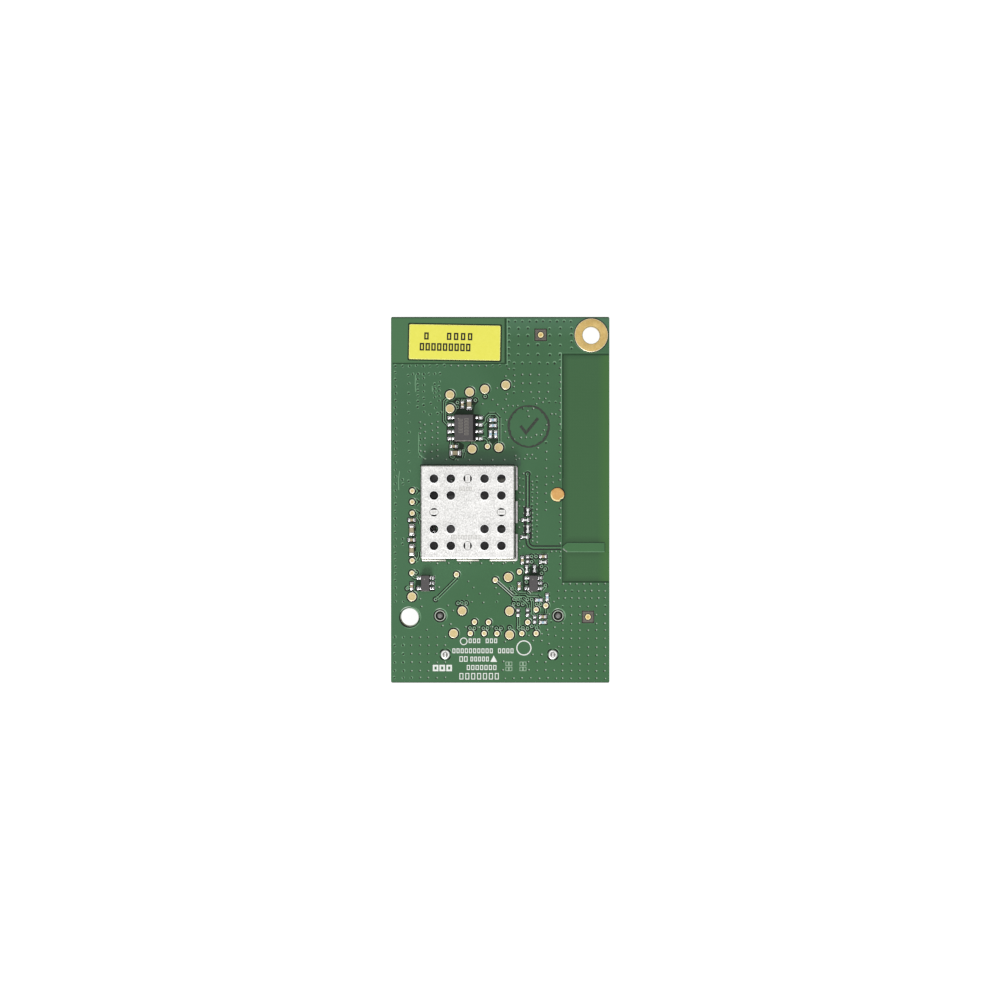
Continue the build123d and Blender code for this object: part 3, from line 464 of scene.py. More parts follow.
def bridge(mesh, low, high, look=0):
    """Quads between two closed rings of the same count, or to a single tip."""
    count = len(low)
    for i in range(count):
        j = (i + 1) % count
        corners = (low[i], low[j], high[0]) if len(high) == 1 else (low[i], low[j], high[j], high[i])
        mesh.faces.new(corners).material_index = look


def cap(mesh, ring, look=0):
    mesh.faces.new(ring).material_index = look


def circle(x, y, radius, count):
    """Points of a circle in plan."""
    turns = [2 * math.pi * i / count for i in range(count)]
    return [(x + radius * math.cos(a), y + radius * math.sin(a)) for a in turns]


def turned(mesh, x, y, profile, count=32, wobble=0.0, base=TOP):
    """A turned shape from (radius, lift over base, look of the band that follows) rows; radius 0 is a tip."""
    phase = random.random() * 6.28
    last, last_look = None, 0
    for radius, lift, look in profile:
        points = [(x, y, base + lift)]
        if radius:
            points = []
            for i in range(count):
                a = 2 * math.pi * i / count
                r = radius * (1 + wobble * math.sin(3 * a + phase))
                points.append((x + r * math.cos(a), y + r * math.sin(a), base + lift))
        ring = ring_of(mesh, points)
        if last:
            bridge(mesh, last, ring, last_look)
        last, last_look = ring, look


def along(mesh, points, section, look=0, closed=False):
    """A strip along a path on the board; section is (offset, lift over the board) from left to right."""
    rows = []
    count = len(points)
    for i, (x, y) in enumerate(points):
        dirs = []
        if i > 0 or closed:
            dirs.append(Vector((x - points[i - 1][0], y - points[i - 1][1])).normalized())
        if i < count - 1 or closed:
            after = points[(i + 1) % count]
            dirs.append(Vector((after[0] - x, after[1] - y)).normalized())
        mean = sum(dirs, Vector((0, 0))).normalized()
        normal = Vector((-mean.y, mean.x))
        stretch = 1 / max(normal.dot(Vector((-dirs[0].y, dirs[0].x))), 0.4)
        rows.append(ring_of(mesh, [
            (x + normal.x * o * stretch, y + normal.y * o * stretch, TOP + lift) for o, lift in section
        ]))
    for i in range(count if closed else count - 1):
        a, b = rows[i], rows[(i + 1) % count]
        for k in range(len(section) - 1):
            mesh.faces.new((a[k], b[k], b[k + 1], a[k + 1])).material_index = look
    if not closed and len(section) > 2:
        for row in (rows[0], rows[-1]):
            cap(mesh, row, look)


def strip(mesh, points, half, lift, look=0, closed=False):
    """A flat strip along a path."""
    along(mesh, points, [(half, lift), (-half, lift)], look, closed)


def ridge(mesh, points, half, crest, lift, look=0):
    """A low ridge along a path, from its half width to the half width of its crest."""
    along(mesh, points, [(half, lift[0]), (crest, lift[1]), (-crest, lift[1]), (-half, lift[0])], look)


def flat(mesh, points, lift, look=0):
    """A flat shape from its outline."""
    cap(mesh, ring_of(mesh, [(x, y, TOP + lift) for x, y in points]), look)


def disc(mesh, x, y, radius, lift, look=0, count=10):
    flat(mesh, circle(x, y, radius, count), lift, look)


def crescent(mesh, x, y, radius, thick, middle_angle, spread, lift, look=0, steps=10):
    """A flat curved strip round a point, widest at its middle; angles in degrees."""
    outer, inner = [], []
    for i in range(steps + 1):
        t = i / steps
        a = math.radians(middle_angle - spread / 2 + spread * t)
        w = thick * (0.12 + 0.88 * math.sin(math.pi * t))
        outer.append((x + (radius + w / 2) * math.cos(a), y + (radius + w / 2) * math.sin(a)))
        inner.append((x + (radius - w / 2) * math.cos(a), y + (radius - w / 2) * math.sin(a)))
    flat(mesh, outer + inner[::-1], lift, look)


def band(mesh, x, y, inner, outer, lift, look=0, count=36):
    """A flat ring."""
    turned(mesh, x, y, [(outer, lift, look), (inner, lift, look)], count)


def rims(mesh, x, y, r, count, bands, arcs):
    """Flat rings and crescents round a hole or a pad of radius r."""
    for inner, outer, lift, look in bands:
        band(mesh, x, y, r + inner, r + outer, lift, look, count)
    for grow, thick, turn, spread, lift, look, steps in arcs:
        crescent(mesh, x, y, r + grow, thick, turn, spread, lift, look, steps)


def rounded(x, y, half_x, half_y, radius, z, steps=4):
    """Points of a rectangle with rounded corners, at a height."""
    radius = min(radius, half_x * 0.98, half_y * 0.98)
    points = []
    for quarter, (sx, sy) in enumerate(((1, 1), (-1, 1), (-1, -1), (1, -1))):
        for i in range(steps + 1):
            a = math.pi / 2 * (quarter + i / steps)
            points.append((x + sx * (half_x - radius) + radius * math.cos(a),
                           y + sy * (half_y - radius) + radius * math.sin(a), z))
    return points


def stacked(mesh, loops, look=0, top_look=None):
    """A closed form through a pile of rings."""
    rings = [ring_of(mesh, points) for points in loops]
    for low, high in zip(rings, rings[1:]):
        bridge(mesh, low, high, look)
    cap(mesh, rings[0][::-1], look)
    cap(mesh, rings[-1], look if top_look is None else top_look)


def islands(node):
    """The box of each separate solid of a CAD node, in millimetres."""
    data = bmesh.new()
    data.from_mesh(nodes[node].data)
    bmesh.ops.remove_doubles(data, verts=data.verts, dist=1e-6)
    seen = set()
    boxes = []
    for start in data.verts:
        if start in seen:
            continue
        seen.add(start)
        todo, group = [start], []
        while todo:
            v = todo.pop()
            group.append(v.co)
            near = {e.other_vert(v) for e in v.link_edges} - seen
            seen |= near
            todo += near
        corners = ([pick(c[i] for c in group) for i in range(3)] for pick in (min, max))
        boxes.append(Box(*(Vector(corner) / MM for corner in corners)))
    data.free()
    return boxes


# CAD nodes that keep their shape, each with its look and the softening of its edges
for node, look, bevel in (
    ("circuit_board", "board_mask", 0), ("shield_frame", "tin_sheet", 0), ("contact_lands", "solder", 0),
    ("solder_lands", "solder", 0), ("radio_chip", "radio_epoxy", 0.03), ("crystal", "crystal_can", 0.05),
    ("supply_coil", "ferrite", 0.05), ("antenna_filter", "pale_ceramic", 0.04),
    ("inner_cap_bodies", "pale_ceramic", 0.03), ("inner_cap_ends", "solder_under_cover", 0.05),
    ("memory_body", "moulded_epoxy", 0.05), ("left_regulator_body", "moulded_epoxy", 0.04),
    ("right_regulator_body", "moulded_epoxy", 0.04), ("connector_housing", "black_nylon", 0.06),
    ("connector_contacts", "contact_gold", 0.03), ("hold_down_tabs", "tin_sheet", 0.04),
):
    made = nodes[node]
    made.data.materials.clear()
    made.data.materials.append(LOOKS[look])
    if bevel:
        made.modifiers.new("weld", "WELD").merge_threshold = 1e-6
        soften(made, bevel, 40)

# Locating hole, the connector's pegs, and the radio line that bends into the feed stub
LOCATING_X, LOCATING_Y, LOCATING_R = -16.59, -21.5, 1.625
PEG_Y, PEG_OUT, PEG_R = -21.24, 10.815, 0.825
pegs = [(box_mm("connector_housing").x + side * PEG_OUT, PEG_Y) for side in (1, -1)]
LINE_X, LINE_START, LINE_BEND = 5.04, 4.71, 1.2

# Keep-clear zones for vias: (x, y, radius) and (x0, y0, x1, y1)
round_zones = [(LOCATING_X, LOCATING_Y, LOCATING_R + 0.6)] + [(x, y, PEG_R + 0.6) for x, y in pegs]
square_zones = [
    (KEEPOUT_X - 0.25, KEEPOUT_END - 0.25, HALF_W, KEEPOUT_TOP + 0.25),
    (-HALF_W, BARE_LOW - 0.25, BARE_RIGHT + 0.25, HALF_L),
    (LINE_X - 0.6, -9.4, LINE_X + 0.6, 5.4), (LINE_X, -9.4, KEEPOUT_X, -8.1),
]
for group, margin in (
    ("large_test_pads", 0.55), ("small_test_pads", 0.5), ("ground_ring", 0.5), ("hold_down_solder", 0.5),
    ("inspection_spot", 0.3),
):
    round_zones += [(b.x, b.y, b.hx + margin) for b in islands(group)]
for group, margin in (
    ("solder_lands", 0.35), ("memory_body", 0.3), ("left_regulator_body", 0.3),
    ("right_regulator_body", 0.3), ("shield_cover", 0.3), ("fiducial_dots", 0.85),
):
    for b in islands(group) if group != "shield_cover" else [box_mm(group)]:
        square_zones.append((b.lo.x - margin, b.lo.y - margin, b.hi.x + margin, b.hi.y + margin))


def is_clear(x, y):
    """Whether a via's place is on the board and outside the keep-clear zones."""
    if any(math.hypot(x - cx, y - cy) < r for cx, cy, r in round_zones):
        return False
    if any(x0 < x < x1 and y0 < y < y1 for x0, y0, x1, y1 in square_zones):
        return False
    return abs(x) < HALF_W - 0.35 and abs(y) < HALF_L - 0.35


# Steps in the mask: a shaded line inside each sunk area and a lit line along its rim
FLUSH, SUNK = 0.006, -0.044
RIGHT, LEFT = HALF_W - 0.1, -HALF_W + 0.3
edges = bmesh.new()
# Upright lines: x, from y, to y, half width, look, lift
for x, y0, y1, half, look, lift in (
    (KEEPOUT_X - 0.22, KEEPOUT_TOP + 0.3, 13.0, 0.06, LIT, FLUSH),
    (KEEPOUT_X - 0.22, 13.0, KEEPOUT_END, 0.05, SOFT_LIT, FLUSH),
    (KEEPOUT_X - 0.02, KEEPOUT_TOP, KEEPOUT_END - 0.05, 0.07, SHADE, FLUSH),
    (KEEPOUT_X + 0.1, KEEPOUT_TOP - 0.1, 4.0, 0.1, SHADE, SUNK),
    (BARE_RIGHT + 0.2, HALF_L - 0.3, BARE_LOW - 0.3, 0.07, LIT, FLUSH),
    (BARE_RIGHT + 0.02, HALF_L - 0.3, BARE_LOW - 0.1, 0.07, SHADE, FLUSH),
    (BARE_RIGHT - 0.16, HALF_L - 0.3, BARE_LOW + 0.1, 0.14, SHADE, SUNK),
    (-HALF_W + 0.08, -HALF_L + 0.2, HALF_L - 0.2, 0.05, SOFT_LIT, FLUSH),
    (19.16, FEED_Y + FEED_HALF, FEED_Y - FEED_HALF, 0.05, SHADE, FLUSH),
):
    strip(edges, [(x, y0), (x, y1)], half, lift, look)
# Level lines: y, from x, to x, half width, look, lift
for y, x0, x1, half, look, lift in (
    (KEEPOUT_TOP + 0.02, KEEPOUT_X, RIGHT, 0.08, SHADE, FLUSH),
    (KEEPOUT_TOP + 0.25, KEEPOUT_X + 0.1, HALF_W - 0.5, 0.06, SOFT_LIT, FLUSH),
    (KEEPOUT_TOP - 0.12, KEEPOUT_X + 0.1, RIGHT, 0.1, SHADE, SUNK),
    (KEEPOUT_END - 0.02, KEEPOUT_X, RIGHT, 0.07, SHADE, FLUSH),
    (KEEPOUT_END + 0.12, KEEPOUT_X + 0.1, RIGHT, 0.1, SHADE, SUNK),
    (KEEPOUT_END - 0.24, KEEPOUT_X, RIGHT, 0.05, SOFT_LIT, FLUSH),
    (BARE_LOW - 0.32, LEFT, BARE_RIGHT + 0.2, 0.07, SOFT_LIT, FLUSH),
    (BARE_LOW - 0.08, LEFT, BARE_RIGHT + 0.05, 0.1, SHADE, FLUSH),
    (HALF_L - 0.12, -RIGHT, RIGHT, 0.1, SHADE, FLUSH),
    (-HALF_L + 0.08, -RIGHT, RIGHT, 0.06, SHADE, FLUSH),
):
    strip(edges, [(x0, y), (x1, y)], half, lift, look)
# The feed stub tapers at its left end and is lit along its long sides: x and y off its middle line
for path, half, look in (
    ([(11.45, 0.12), (12.3, FEED_HALF), (19.1, FEED_HALF)], 0.05, SOFT_LIT),
    ([(11.35, 0.24), (12.22, FEED_HALF + 0.13), (19.1, FEED_HALF + 0.13)], 0.06, SHADE),
    ([(11.45, -0.1), (12.3, 0.03 - FEED_HALF), (19.1, 0.03 - FEED_HALF)], 0.035, LIT),
    ([(11.5, -0.18), (12.25, 0.05 - FEED_HALF)], 0.08, GLINT),
):
    strip(edges, [(x, FEED_Y + v) for x, v in path], half, FLUSH, look)
piece("mask_steps", edges, EDGES, 30)

# Darker patches round the soldered chips, by their corners in the photo: mask without copper, darker
# still with painted shade beside the chips and the shield
PATCHES = [
    (446.2, 414.6, 447.0, 402.4, 455.6, 397.6, 477.4, 397.4, 478.6, 401.6, 474.6, 406.0, 473.4, 414.0,
     484.2, 414.8, 484.2, 441.8, 446.6, 441.8),
    (449.2, 441.0, 458.4, 441.0, 464.0, 444.6, 464.4, 457.8, 450.0, 458.6),
    (486.4, 416.6, 499.4, 416.6, 499.4, 441.2, 495.4, 444.8, 492.4, 449.6, 489.8, 443.4, 487.2, 441.0),
    (416.6, 575.0, 422.6, 575.0, 422.6, 591.2, 414.4, 591.2),
    (429.0, 575.0, 434.8, 575.0, 434.8, 591.2, 429.0, 591.2),
    (523.6, 565.8, 538.6, 565.8, 541.0, 574.6, 541.0, 592.2, 522.4, 592.2, 522.4, 576.0),
    (408.6, 516.6, 416.2, 516.6, 416.2, 557.0, 408.8, 557.0),
]
patches = bmesh.new()
for numbers in PATCHES:
    flat(patches, spots(*numbers), 0.002)
piece("mask_patches", patches, "mask_between_pads")

# Traces that show as raised lines with a gap on each side: width, then their places in the photo
TRACES = [
    (0.2, 447.3, 397.6, 443.6, 401.3, 443.6, 421.0, 447.0, 424.6),
    (0.22, 498.9, 443.2, 498.9, 418.0, 495.2, 414.2, 489.2, 414.2, 485.6, 417.8, 485.6, 421.4, 482.8, 424.4),
    (0.22, 482.0, 438.5, 485.4, 438.9, 487.5, 441.2, 487.5, 443.8),
    (0.22, 456.4, 576.6, 456.4, 578.4, 436.4, 598.4),
    (0.2, 497.0, 582.2, 505.0, 589.4, 512.9, 596.6, 524.7, 596.6, 527.0, 598.8),
    (0.2, 513.2, 590.4, 517.2, 594.2, 525.9, 594.2, 528.0, 596.1, 537.9, 596.1, 539.0, 597.2),
    (0.2, 531.7, 600.6, 531.7, 614.4, 534.0, 616.2),
    (0.2, 513.8, 600.2, 522.0, 599.7, 527.4, 604.7, 527.4, 608.4),
    (0.2, 517.7, 616.4, 517.7, 628.4, 520.4, 631.2),
    (0.2, 509.5, 586.2, 512.0, 588.8), (0.2, 525.2, 587.4, 531.0, 593.4),
    (0.2, 462.1, 398.9, 461.3, 402.0), (0.2, 472.0, 440.8, 472.0, 443.8),
    (0.2, 451.0, 441.2, 450.2, 446.0, 450.4, 457.0, 453.4, 458.6, 455.0, 456.8),
    (0.2, 462.2, 449.4, 463.6, 451.6, 462.6, 457.6),
    (0.2, 415.0, 488.4, 418.0, 491.0, 415.6, 493.6), (0.2, 415.0, 499.4, 418.0, 502.0, 415.6, 504.6),
    (0.2, 415.0, 510.6, 418.4, 513.2, 417.0, 517.4, 419.6, 521.4, 419.6, 524.0),
    (0.2, 414.8, 561.0, 417.0, 559.4, 418.6, 556.0, 418.6, 552.0),
    (0.2, 411.9, 576.0, 414.6, 578.4, 417.6, 578.2), (0.2, 406.8, 588.4, 410.4, 588.4),
    (0.2, 541.6, 589.6, 545.2, 585.6), (0.2, 534.7, 625.2, 536.1, 629.4),
    (0.2, 545.8, 609.2, 545.8, 613.0), (0.2, 509.6, 628.6, 509.6, 630.2),
]
GAP_W, LIT_W, VIA_CLEAR = 0.2, 0.12, 0.42
gaps, raised = bmesh.new(), bmesh.new()
for width, *numbers in TRACES:
    points = spots(*numbers)
    half = width / 2
    strip(gaps, points, half + GAP_W, 0.008)
    # The ridge and the far lip of the gap are lit, brightest on runs that face the light
    for a, b in zip(points, points[1:]):
        steps = max(int(math.dist(a, b) / 0.3), 1)
        for i in range(steps + 1):
            t = i / steps
            round_zones.append((a[0] + (b[0] - a[0]) * t, a[1] + (b[1] - a[1]) * t, VIA_CLEAR))
        run = Vector((b[0] - a[0], b[1] - a[1])).normalized()
        if run.x < -0.2 or (abs(run.x) <= 0.2 and run.y > 0):
            run = -run
            a, b = b, a
        lit = GLINT if run.x > 0.3 and run.y < -0.3 and math.dist(a, b) > 1.5 else LIT
        ridge(raised, [a, b], half, half / 2, (0.01, 0.03), SOFT_LIT)
        side = 1 if abs(run.y) < 0.3 or run.y < 0 else -1
        for wall in (half + GAP_W, -half):
            along(raised, [a, b], [(side * wall, 0.032), (side * (wall + LIT_W), 0.032)], lit)
piece("trace_gaps", gaps, "mask_gap")
piece("traces", raised, EDGES, 30)

# Radio line: its ridge catches the light where it stands in its pocket
radio_line = bmesh.new()
straight = [(LINE_X, 4.3), (LINE_X, -7.5)]
ridge(radio_line, straight, 0.14, 0.06, (0.004, 0.02), SOFT_LIT)
along(radio_line, straight, [(0.0, 0.026), (-0.1, 0.026)], LIT)
arc = []
for i in range(9):
    a = math.pi / 2 * i / 8
    arc.append((LINE_X + LINE_BEND * (1 - math.cos(a)), FEED_Y + LINE_BEND * (1 - math.sin(a))))
ridge(radio_line, arc + [(11.3, FEED_Y)], 0.15, 0.06, (0.004, 0.02), SOFT_LIT)
rims(radio_line, LINE_X, LINE_START, 0, 0, (), (
    (0.26, 0.12, 200, 250, 0.02, LIT, 10), (0.62, 0.1, 60, 150, 0.01, LIT, 10),
))
disc(radio_line, LINE_X, LINE_START, 0.1, 0.01, GAP_AND_SHADE)
for x in (LINE_X + 0.5, LINE_X - 0.5):
    strip(radio_line, [(x, 4.5), (x, -1.1)], 0.04, 0.006, SOFT_LIT)
piece("radio_line_crown", radio_line, EDGES, 30)

# Moats round the pads and holes: a dark step in the mask, lit where its far side faces the light.
# Bands are (inner, outer, lift, look); arcs are (radius, thickness, angle, spread, lift, look, steps)
moats = bmesh.new()
for group, gap in (("large_test_pads", 0.23), ("small_test_pads", 0.22)):
    for b in islands(group):
        rims(moats, b.x, b.y, b.hx, 40, ((-0.03, gap, 0.012, GAP_AND_SHADE), (gap, gap + 0.1, 0.005, SOFT_LIT)), (
            (gap + 0.09, 0.15, 36, 130, 0.016, LIT, 14), (gap + 0.06, 0.11, 46, 50, 0.02, GLINT, 8),
            (gap + 0.08, 0.07, 240, 110, 0.016, SOFT_LIT, 12),
        ))
screw = islands("ground_ring")[0]
rims(moats, screw.x, screw.y, screw.hx, 96, [(-0.02, 0.13, 0.012, GAP_AND_SHADE)],
     [(0.17, 0.07, 225, 160, 0.014, LIT, 40)])
rims(moats, LOCATING_X, LOCATING_Y, LOCATING_R, 72, ((0.01, 0.06, 0.006, 6), (0.06, 0.32, 0.006, SHADE)), (
    (0.17, 0.32, 228, 150, 0.01, GAP_AND_SHADE, 30), (0.18, 0.2, 52, 120, 0.012, LIT, 30),
    (0.12, 0.1, 100, 40, 0.016, GAP_AND_SHADE, 16), (0.3, 0.13, 116, 70, 0.016, GLINT, 20),
    (0.42, 0.12, 22, 100, 0.014, LIT, 30), (0.42, 0.1, 285, 110, 0.014, LIT, 24),
))
for x, y in pegs:
    rims(moats, x, y, PEG_R, 44, ((0.01, 0.15, 0.01, 6), (0.15, 0.38, 0.01, GAP_AND_SHADE), (0.5, 0.6, 0.004, SOFT_LIT)), (
        (0.48, 0.2, 50, 190, 0.014, LIT, 20), (0.47, 0.13, 100, 50, 0.018, GLINT, 12),
        (0.3, 0.1, 10, 70, 0.018, LIT, 10),
    ))
piece("mask_moats", moats, EDGES + " bare_edge", 30)

# Gold test pads with a bright soft rim, a painted highlight
for group, rim in (("large_test_pads", 0.13), ("small_test_pads", 0.19)):
    discs = bmesh.new()
    for b in islands(group):
        turned(discs, b.x, b.y, [
            (b.hx, 0.002, 1), (b.hx - 0.02, 0.05, 1), (b.hx - 0.07, 0.07, 1), (b.hx - rim, 0.06, 0),
            (b.hx * 0.4, 0.055, 0), (0, 0.055, 0),
        ], 40)
    piece("gold_" + group, discs, "pad_gold pad_rim", 50, group)

# Fiducial dots in their squares of bare laminate, with a painted highlight on each dot's rim and a
# painted soft highlight round each square
squares, dots = bmesh.new(), bmesh.new()
for b in islands("fiducial_dots"):
    loops = [
        ring_of(squares, rounded(b.x, b.y, half, half, corner, TOP + lift)) for half, corner, lift in
        ((1.3, 0.24, 0.004), (1.19, 0.14, 0.02), (1.16, 0.1, 0.008), (0.98, 0.06, 0.008))
    ]
    for low, high, look in zip(loops, loops[1:], (1, 1, 3)):
        bridge(squares, low, high, look)
    cap(squares, loops[-1], 0)
    band(squares, b.x, b.y, b.hx - 0.02, b.hx + 0.12, 0.011, 2, 32)
    turned(dots, b.x, b.y, [
        (b.hx, 0.004, 1), (b.hx - 0.03, 0.045, 1), (b.hx - 0.2, 0.05, 0), (0, 0.045, 0),
    ], 36)
piece("fiducial_squares", squares, "bare_laminate mask_soft_edge mask_gap laminate_border", 30)
piece("fiducial_gold", dots, "ring_gold fiducial_rim", 50, "fiducial_dots")

# Plated ring round the screw hole, with its barrel through the board and a painted highlight on its outer
# edge
SCREW_R, RING_R, THICK = 1.6, 3.075, TOP - UNDER
ring = bmesh.new()
turned(ring, screw.x, screw.y, [
    (RING_R, 0.001, 1), (RING_R - 0.03, 0.035, 1), (RING_R - 0.1, 0.05, 0), (2.35, 0.045, 0),
    (SCREW_R + 0.16, 0.05, 0), (SCREW_R + 0.05, 0.03, 0), (SCREW_R - 0.01, -0.06, 0),
    (SCREW_R - 0.01, 0.06 - THICK, 0), (SCREW_R + 0.05, -0.03 - THICK, 0),
    (SCREW_R + 0.16, -0.045 - THICK, 0), (RING_R - 0.1, -0.045 - THICK, 0), (RING_R, -0.001 - THICK, 0),
], 128)
piece("plated_ring", ring, "ring_gold pad_rim", 40, "ground_ring")

# Paint spot: a domed blob with a lit rim at the front and a bite at its lower right
BLOB_R, BITE_DEEP, BITE_WIDE, BLOB_SIDES = 1.25, 0.26, 0.18, 72
b = box_mm("inspection_spot")
blob = bmesh.new()
loops = []
for r, lift in ((BLOB_R, 0.0), (1.22, 0.04), (1.12, 0.075), (0.98, 0.085), (0.5, 0.078)):
    points = []
    for i in range(BLOB_SIDES):
        a = 2 * math.pi * i / BLOB_SIDES
        reach = r * (1 + 0.012 * math.sin(5 * a + 1.0))
        if r > 0.6:
            turn = math.atan2(math.sin(a + 0.95), math.cos(a + 0.95))
            reach -= BITE_DEEP * math.exp(-(turn / BITE_WIDE) ** 2) * r / BLOB_R
        points.append((b.x + reach * math.cos(a), b.y + reach * math.sin(a), TOP + lift))
    loops.append(ring_of(blob, points))
for level_at, (low, high) in enumerate(zip(loops, loops[1:])):
    for i in range(BLOB_SIDES):
        j = (i + 1) % BLOB_SIDES
        lit = 30 <= i <= 70 and (level_at < 2 or (level_at == 2 and 36 <= i <= 66))
        blob.faces.new((low[i], low[j], high[j], high[i])).material_index = 1 if lit else 0
bridge(blob, loops[-1], ring_of(blob, [(b.x, b.y, TOP + 0.076)]))
# A dark outline almost all round the blob: painted shade at its edge
crescent(blob, b.x, b.y, 1.31, 0.2, 0, 310, 0.01, 2, 40)
piece("paint_spot", blob, "spot_paint spot_rim mask_gap", 60, "inspection_spot")

# Inked stamp: an uneven ring and a tick
b = box_mm("stamp_ring")
stamp = bmesh.new()
outer, inner = [], []
for i in range(160):
    a = 2 * math.pi * i / 160
    thick = 0.38 * (1 + 0.2 * math.sin(2.3 * a + 0.6) + 0.16 * math.sin(17 * a) + 0.1 * math.sin(41 * a))
    out = b.hx * (1 + 0.006 * math.sin(7 * a) + 0.005 * math.sin(29 * a)) - 0.03
    for side, r in ((outer, out), (inner, out - thick)):
        side.append((b.x + r * math.cos(a), b.y + r * math.sin(a), TOP + 0.02))
bridge(stamp, ring_of(stamp, outer), ring_of(stamp, inner))
strip(stamp, [(b.x - 1.5, b.y + 0.1), (b.x - 0.5, b.y - 1.2), (b.x + 1.7, b.y + 1.5)], 0.26, 0.02)
piece("stamp_print", stamp, "stamp_ink", node="stamp_ring")

# Stick-on label: a sheet with soft corners, and plain bars where it is printed
LABEL_TURN = math.radians(-1.0)
LABEL_HALF_X, LABEL_HALF_Y = 8.35, 3.2
label = box_mm("yellow_label")


def on_label(u, v, z):
    """A point of the label from its place along and across it."""
    c, s = math.cos(LABEL_TURN), math.sin(LABEL_TURN)
    return label.x + u * c - v * s, label.y + u * s + v * c, z


def label_outline(grow, corner, z):
    return [on_label(*p) for p in rounded(0, 0, LABEL_HALF_X + grow, LABEL_HALF_Y + grow, corner, z)]


LABEL_LOW, LABEL_TOP = label.lo.z, label.hi.z
sheet = bmesh.new()
stacked(sheet, [label_outline(-inset, 0.22, z) for inset, z in (
    (0.0, LABEL_LOW), (0.0, LABEL_TOP - 0.02), (0.04, LABEL_TOP), (0.1, LABEL_TOP + 0.003),
    (0.13, LABEL_TOP + 0.003),
)], 1, 0)
# A painted shadow on the mask in a ring round the label's edge
bridge(sheet, *(ring_of(sheet, label_outline(grow, 0.3, LABEL_LOW + 0.004)) for grow in (0.26, -0.05)), 2)
piece("label_sheet", sheet, "label_paper label_rim mask_between_pads", 40, "yellow_label")


def print_row(mesh, place, start, pitch, count, v, width, height, stroke, look=0, skip=()):
    """A row of plain marks of print, each a small open box."""
    for u in (start + k * pitch for k in range(count) if k not in skip):
        for u0, v0, u1, v1 in (
            (u, v, u + stroke, v + height), (u + width - stroke, v, u + width, v + height),
            (u + stroke, v + height - stroke, u + width - stroke, v + height),
            (u + stroke, v, u + width - stroke, v + stroke),
        ):
            corners = [place(*corner) for corner in ((u0, v0), (u1, v0), (u1, v1), (u0, v1))]
            cap(mesh, ring_of(mesh, corners), look)


def at_height(z):
    """Turns places in the photo into points at a height."""
    return lambda px, py: (*spot(px, py), z)


def label_print(u, v):
    return on_label(u, v, LABEL_TOP + 0.009)


bars = bmesh.new()
for v, height, count, u0, pitch in (
    (0.42, 1.32, 1, -5.6, 1.2), (0.42, 1.32, 4, -1.45, 1.28), (-1.6, 1.4, 9, -6.4, 1.06),
):
    print_row(bars, label_print, u0, pitch, count, v, 0.82, height, 0.27)
piece("label_bars", bars, "label_ink")

# White legend on the mask: plain marks, rings and boxes, in photo pixels
INK_LIFT = 0.02
on_mask = at_height(TOP + INK_LIFT)
legend = bmesh.new()
for x0, pitch, count, y, width, height, skip in (
    (468.7, 4.25, 7, 640.8, 3.0, 4.6, (3,)), (452.4, 4.15, 15, 650.8, 3.0, 4.8, (10,)),
    (459.4, 4.6, 2, 659.0, 3.6, 5.4, ()), (470.4, 3.9, 5, 659.0, 2.8, 4.8, ()),
    (466.8, 4.4, 7, 667.5, 3.2, 5.0, ()), (459.4, 5.9, 7, 676.2, 4.0, 6.4, ()),
):
    print_row(legend, on_mask, x0, pitch, count, y - height / 2, width, height, 0.82, 0, skip)
for px, py, outer_r, stroke in ((523.9, 647.9, 7.6, 1.1), (463.7, 641.3, 3.8, 0.9)):
    band(legend, *spot(px, py), (outer_r - stroke) / PHOTO_SCALE, outer_r / PHOTO_SCALE, INK_LIFT, 0, 48)
flat(legend, spots(493.7, 655.4, 490.3, 661.9, 497.1, 661.9), INK_LIFT)
for px in (432.8, 439.4, 446.4):
    print_row(legend, on_mask, px, 0, 1, 664.8, 5.6, 6.4, 1.7)
for px in (509.2, 523.3):
    for dx in (-0.62, 0.0):
        for dy in (-0.84, 0.1):
            x, y = spot(px, 666.1)
            x, y = x + dx, y + dy
            corners = (x, y), (x + 0.5, y), (x + 0.5, y + 0.66), (x, y + 0.66)
            strip(legend, corners, 0.055, INK_LIFT, 1, True)
piece("white_legend", legend, "white_legend faint_legend")

# Vias: ringed ones by their places in the photo, x and y in turn
RINGED = [
    458.1, 603.3, 461.8, 602.9, 466.2, 603.1, 470.0, 628.1, 474.4, 628.3, 483.4, 628.3, 487.6, 628.3,
    496.3, 628.4, 501.0, 628.4, 509.6, 627.7, 518.6, 627.9, 523.0, 627.9, 527.5, 628.6, 531.8, 626.3,
    536.6, 628.2, 513.8, 603.8, 518.4, 604.3, 522.8, 604.3, 514.0, 599.0, 518.2, 599.0, 536.6, 604.3,
    540.6, 604.1, 531.6, 556.5, 536.0, 556.5, 531.6, 561.8, 541.6, 566.4, 545.2, 569.1, 541.6, 573.3,
    407.3, 588.5, 435.6, 599.4, 527.5, 599.5, 531.7, 599.5, 512.0, 588.8, 545.4, 585.4, 457.5, 402.5,
    457.5, 407.2, 475.4, 400.2, 485.2, 396.4, 526.4, 582.0, 416.0, 572.6, 463.4, 451.0,
]
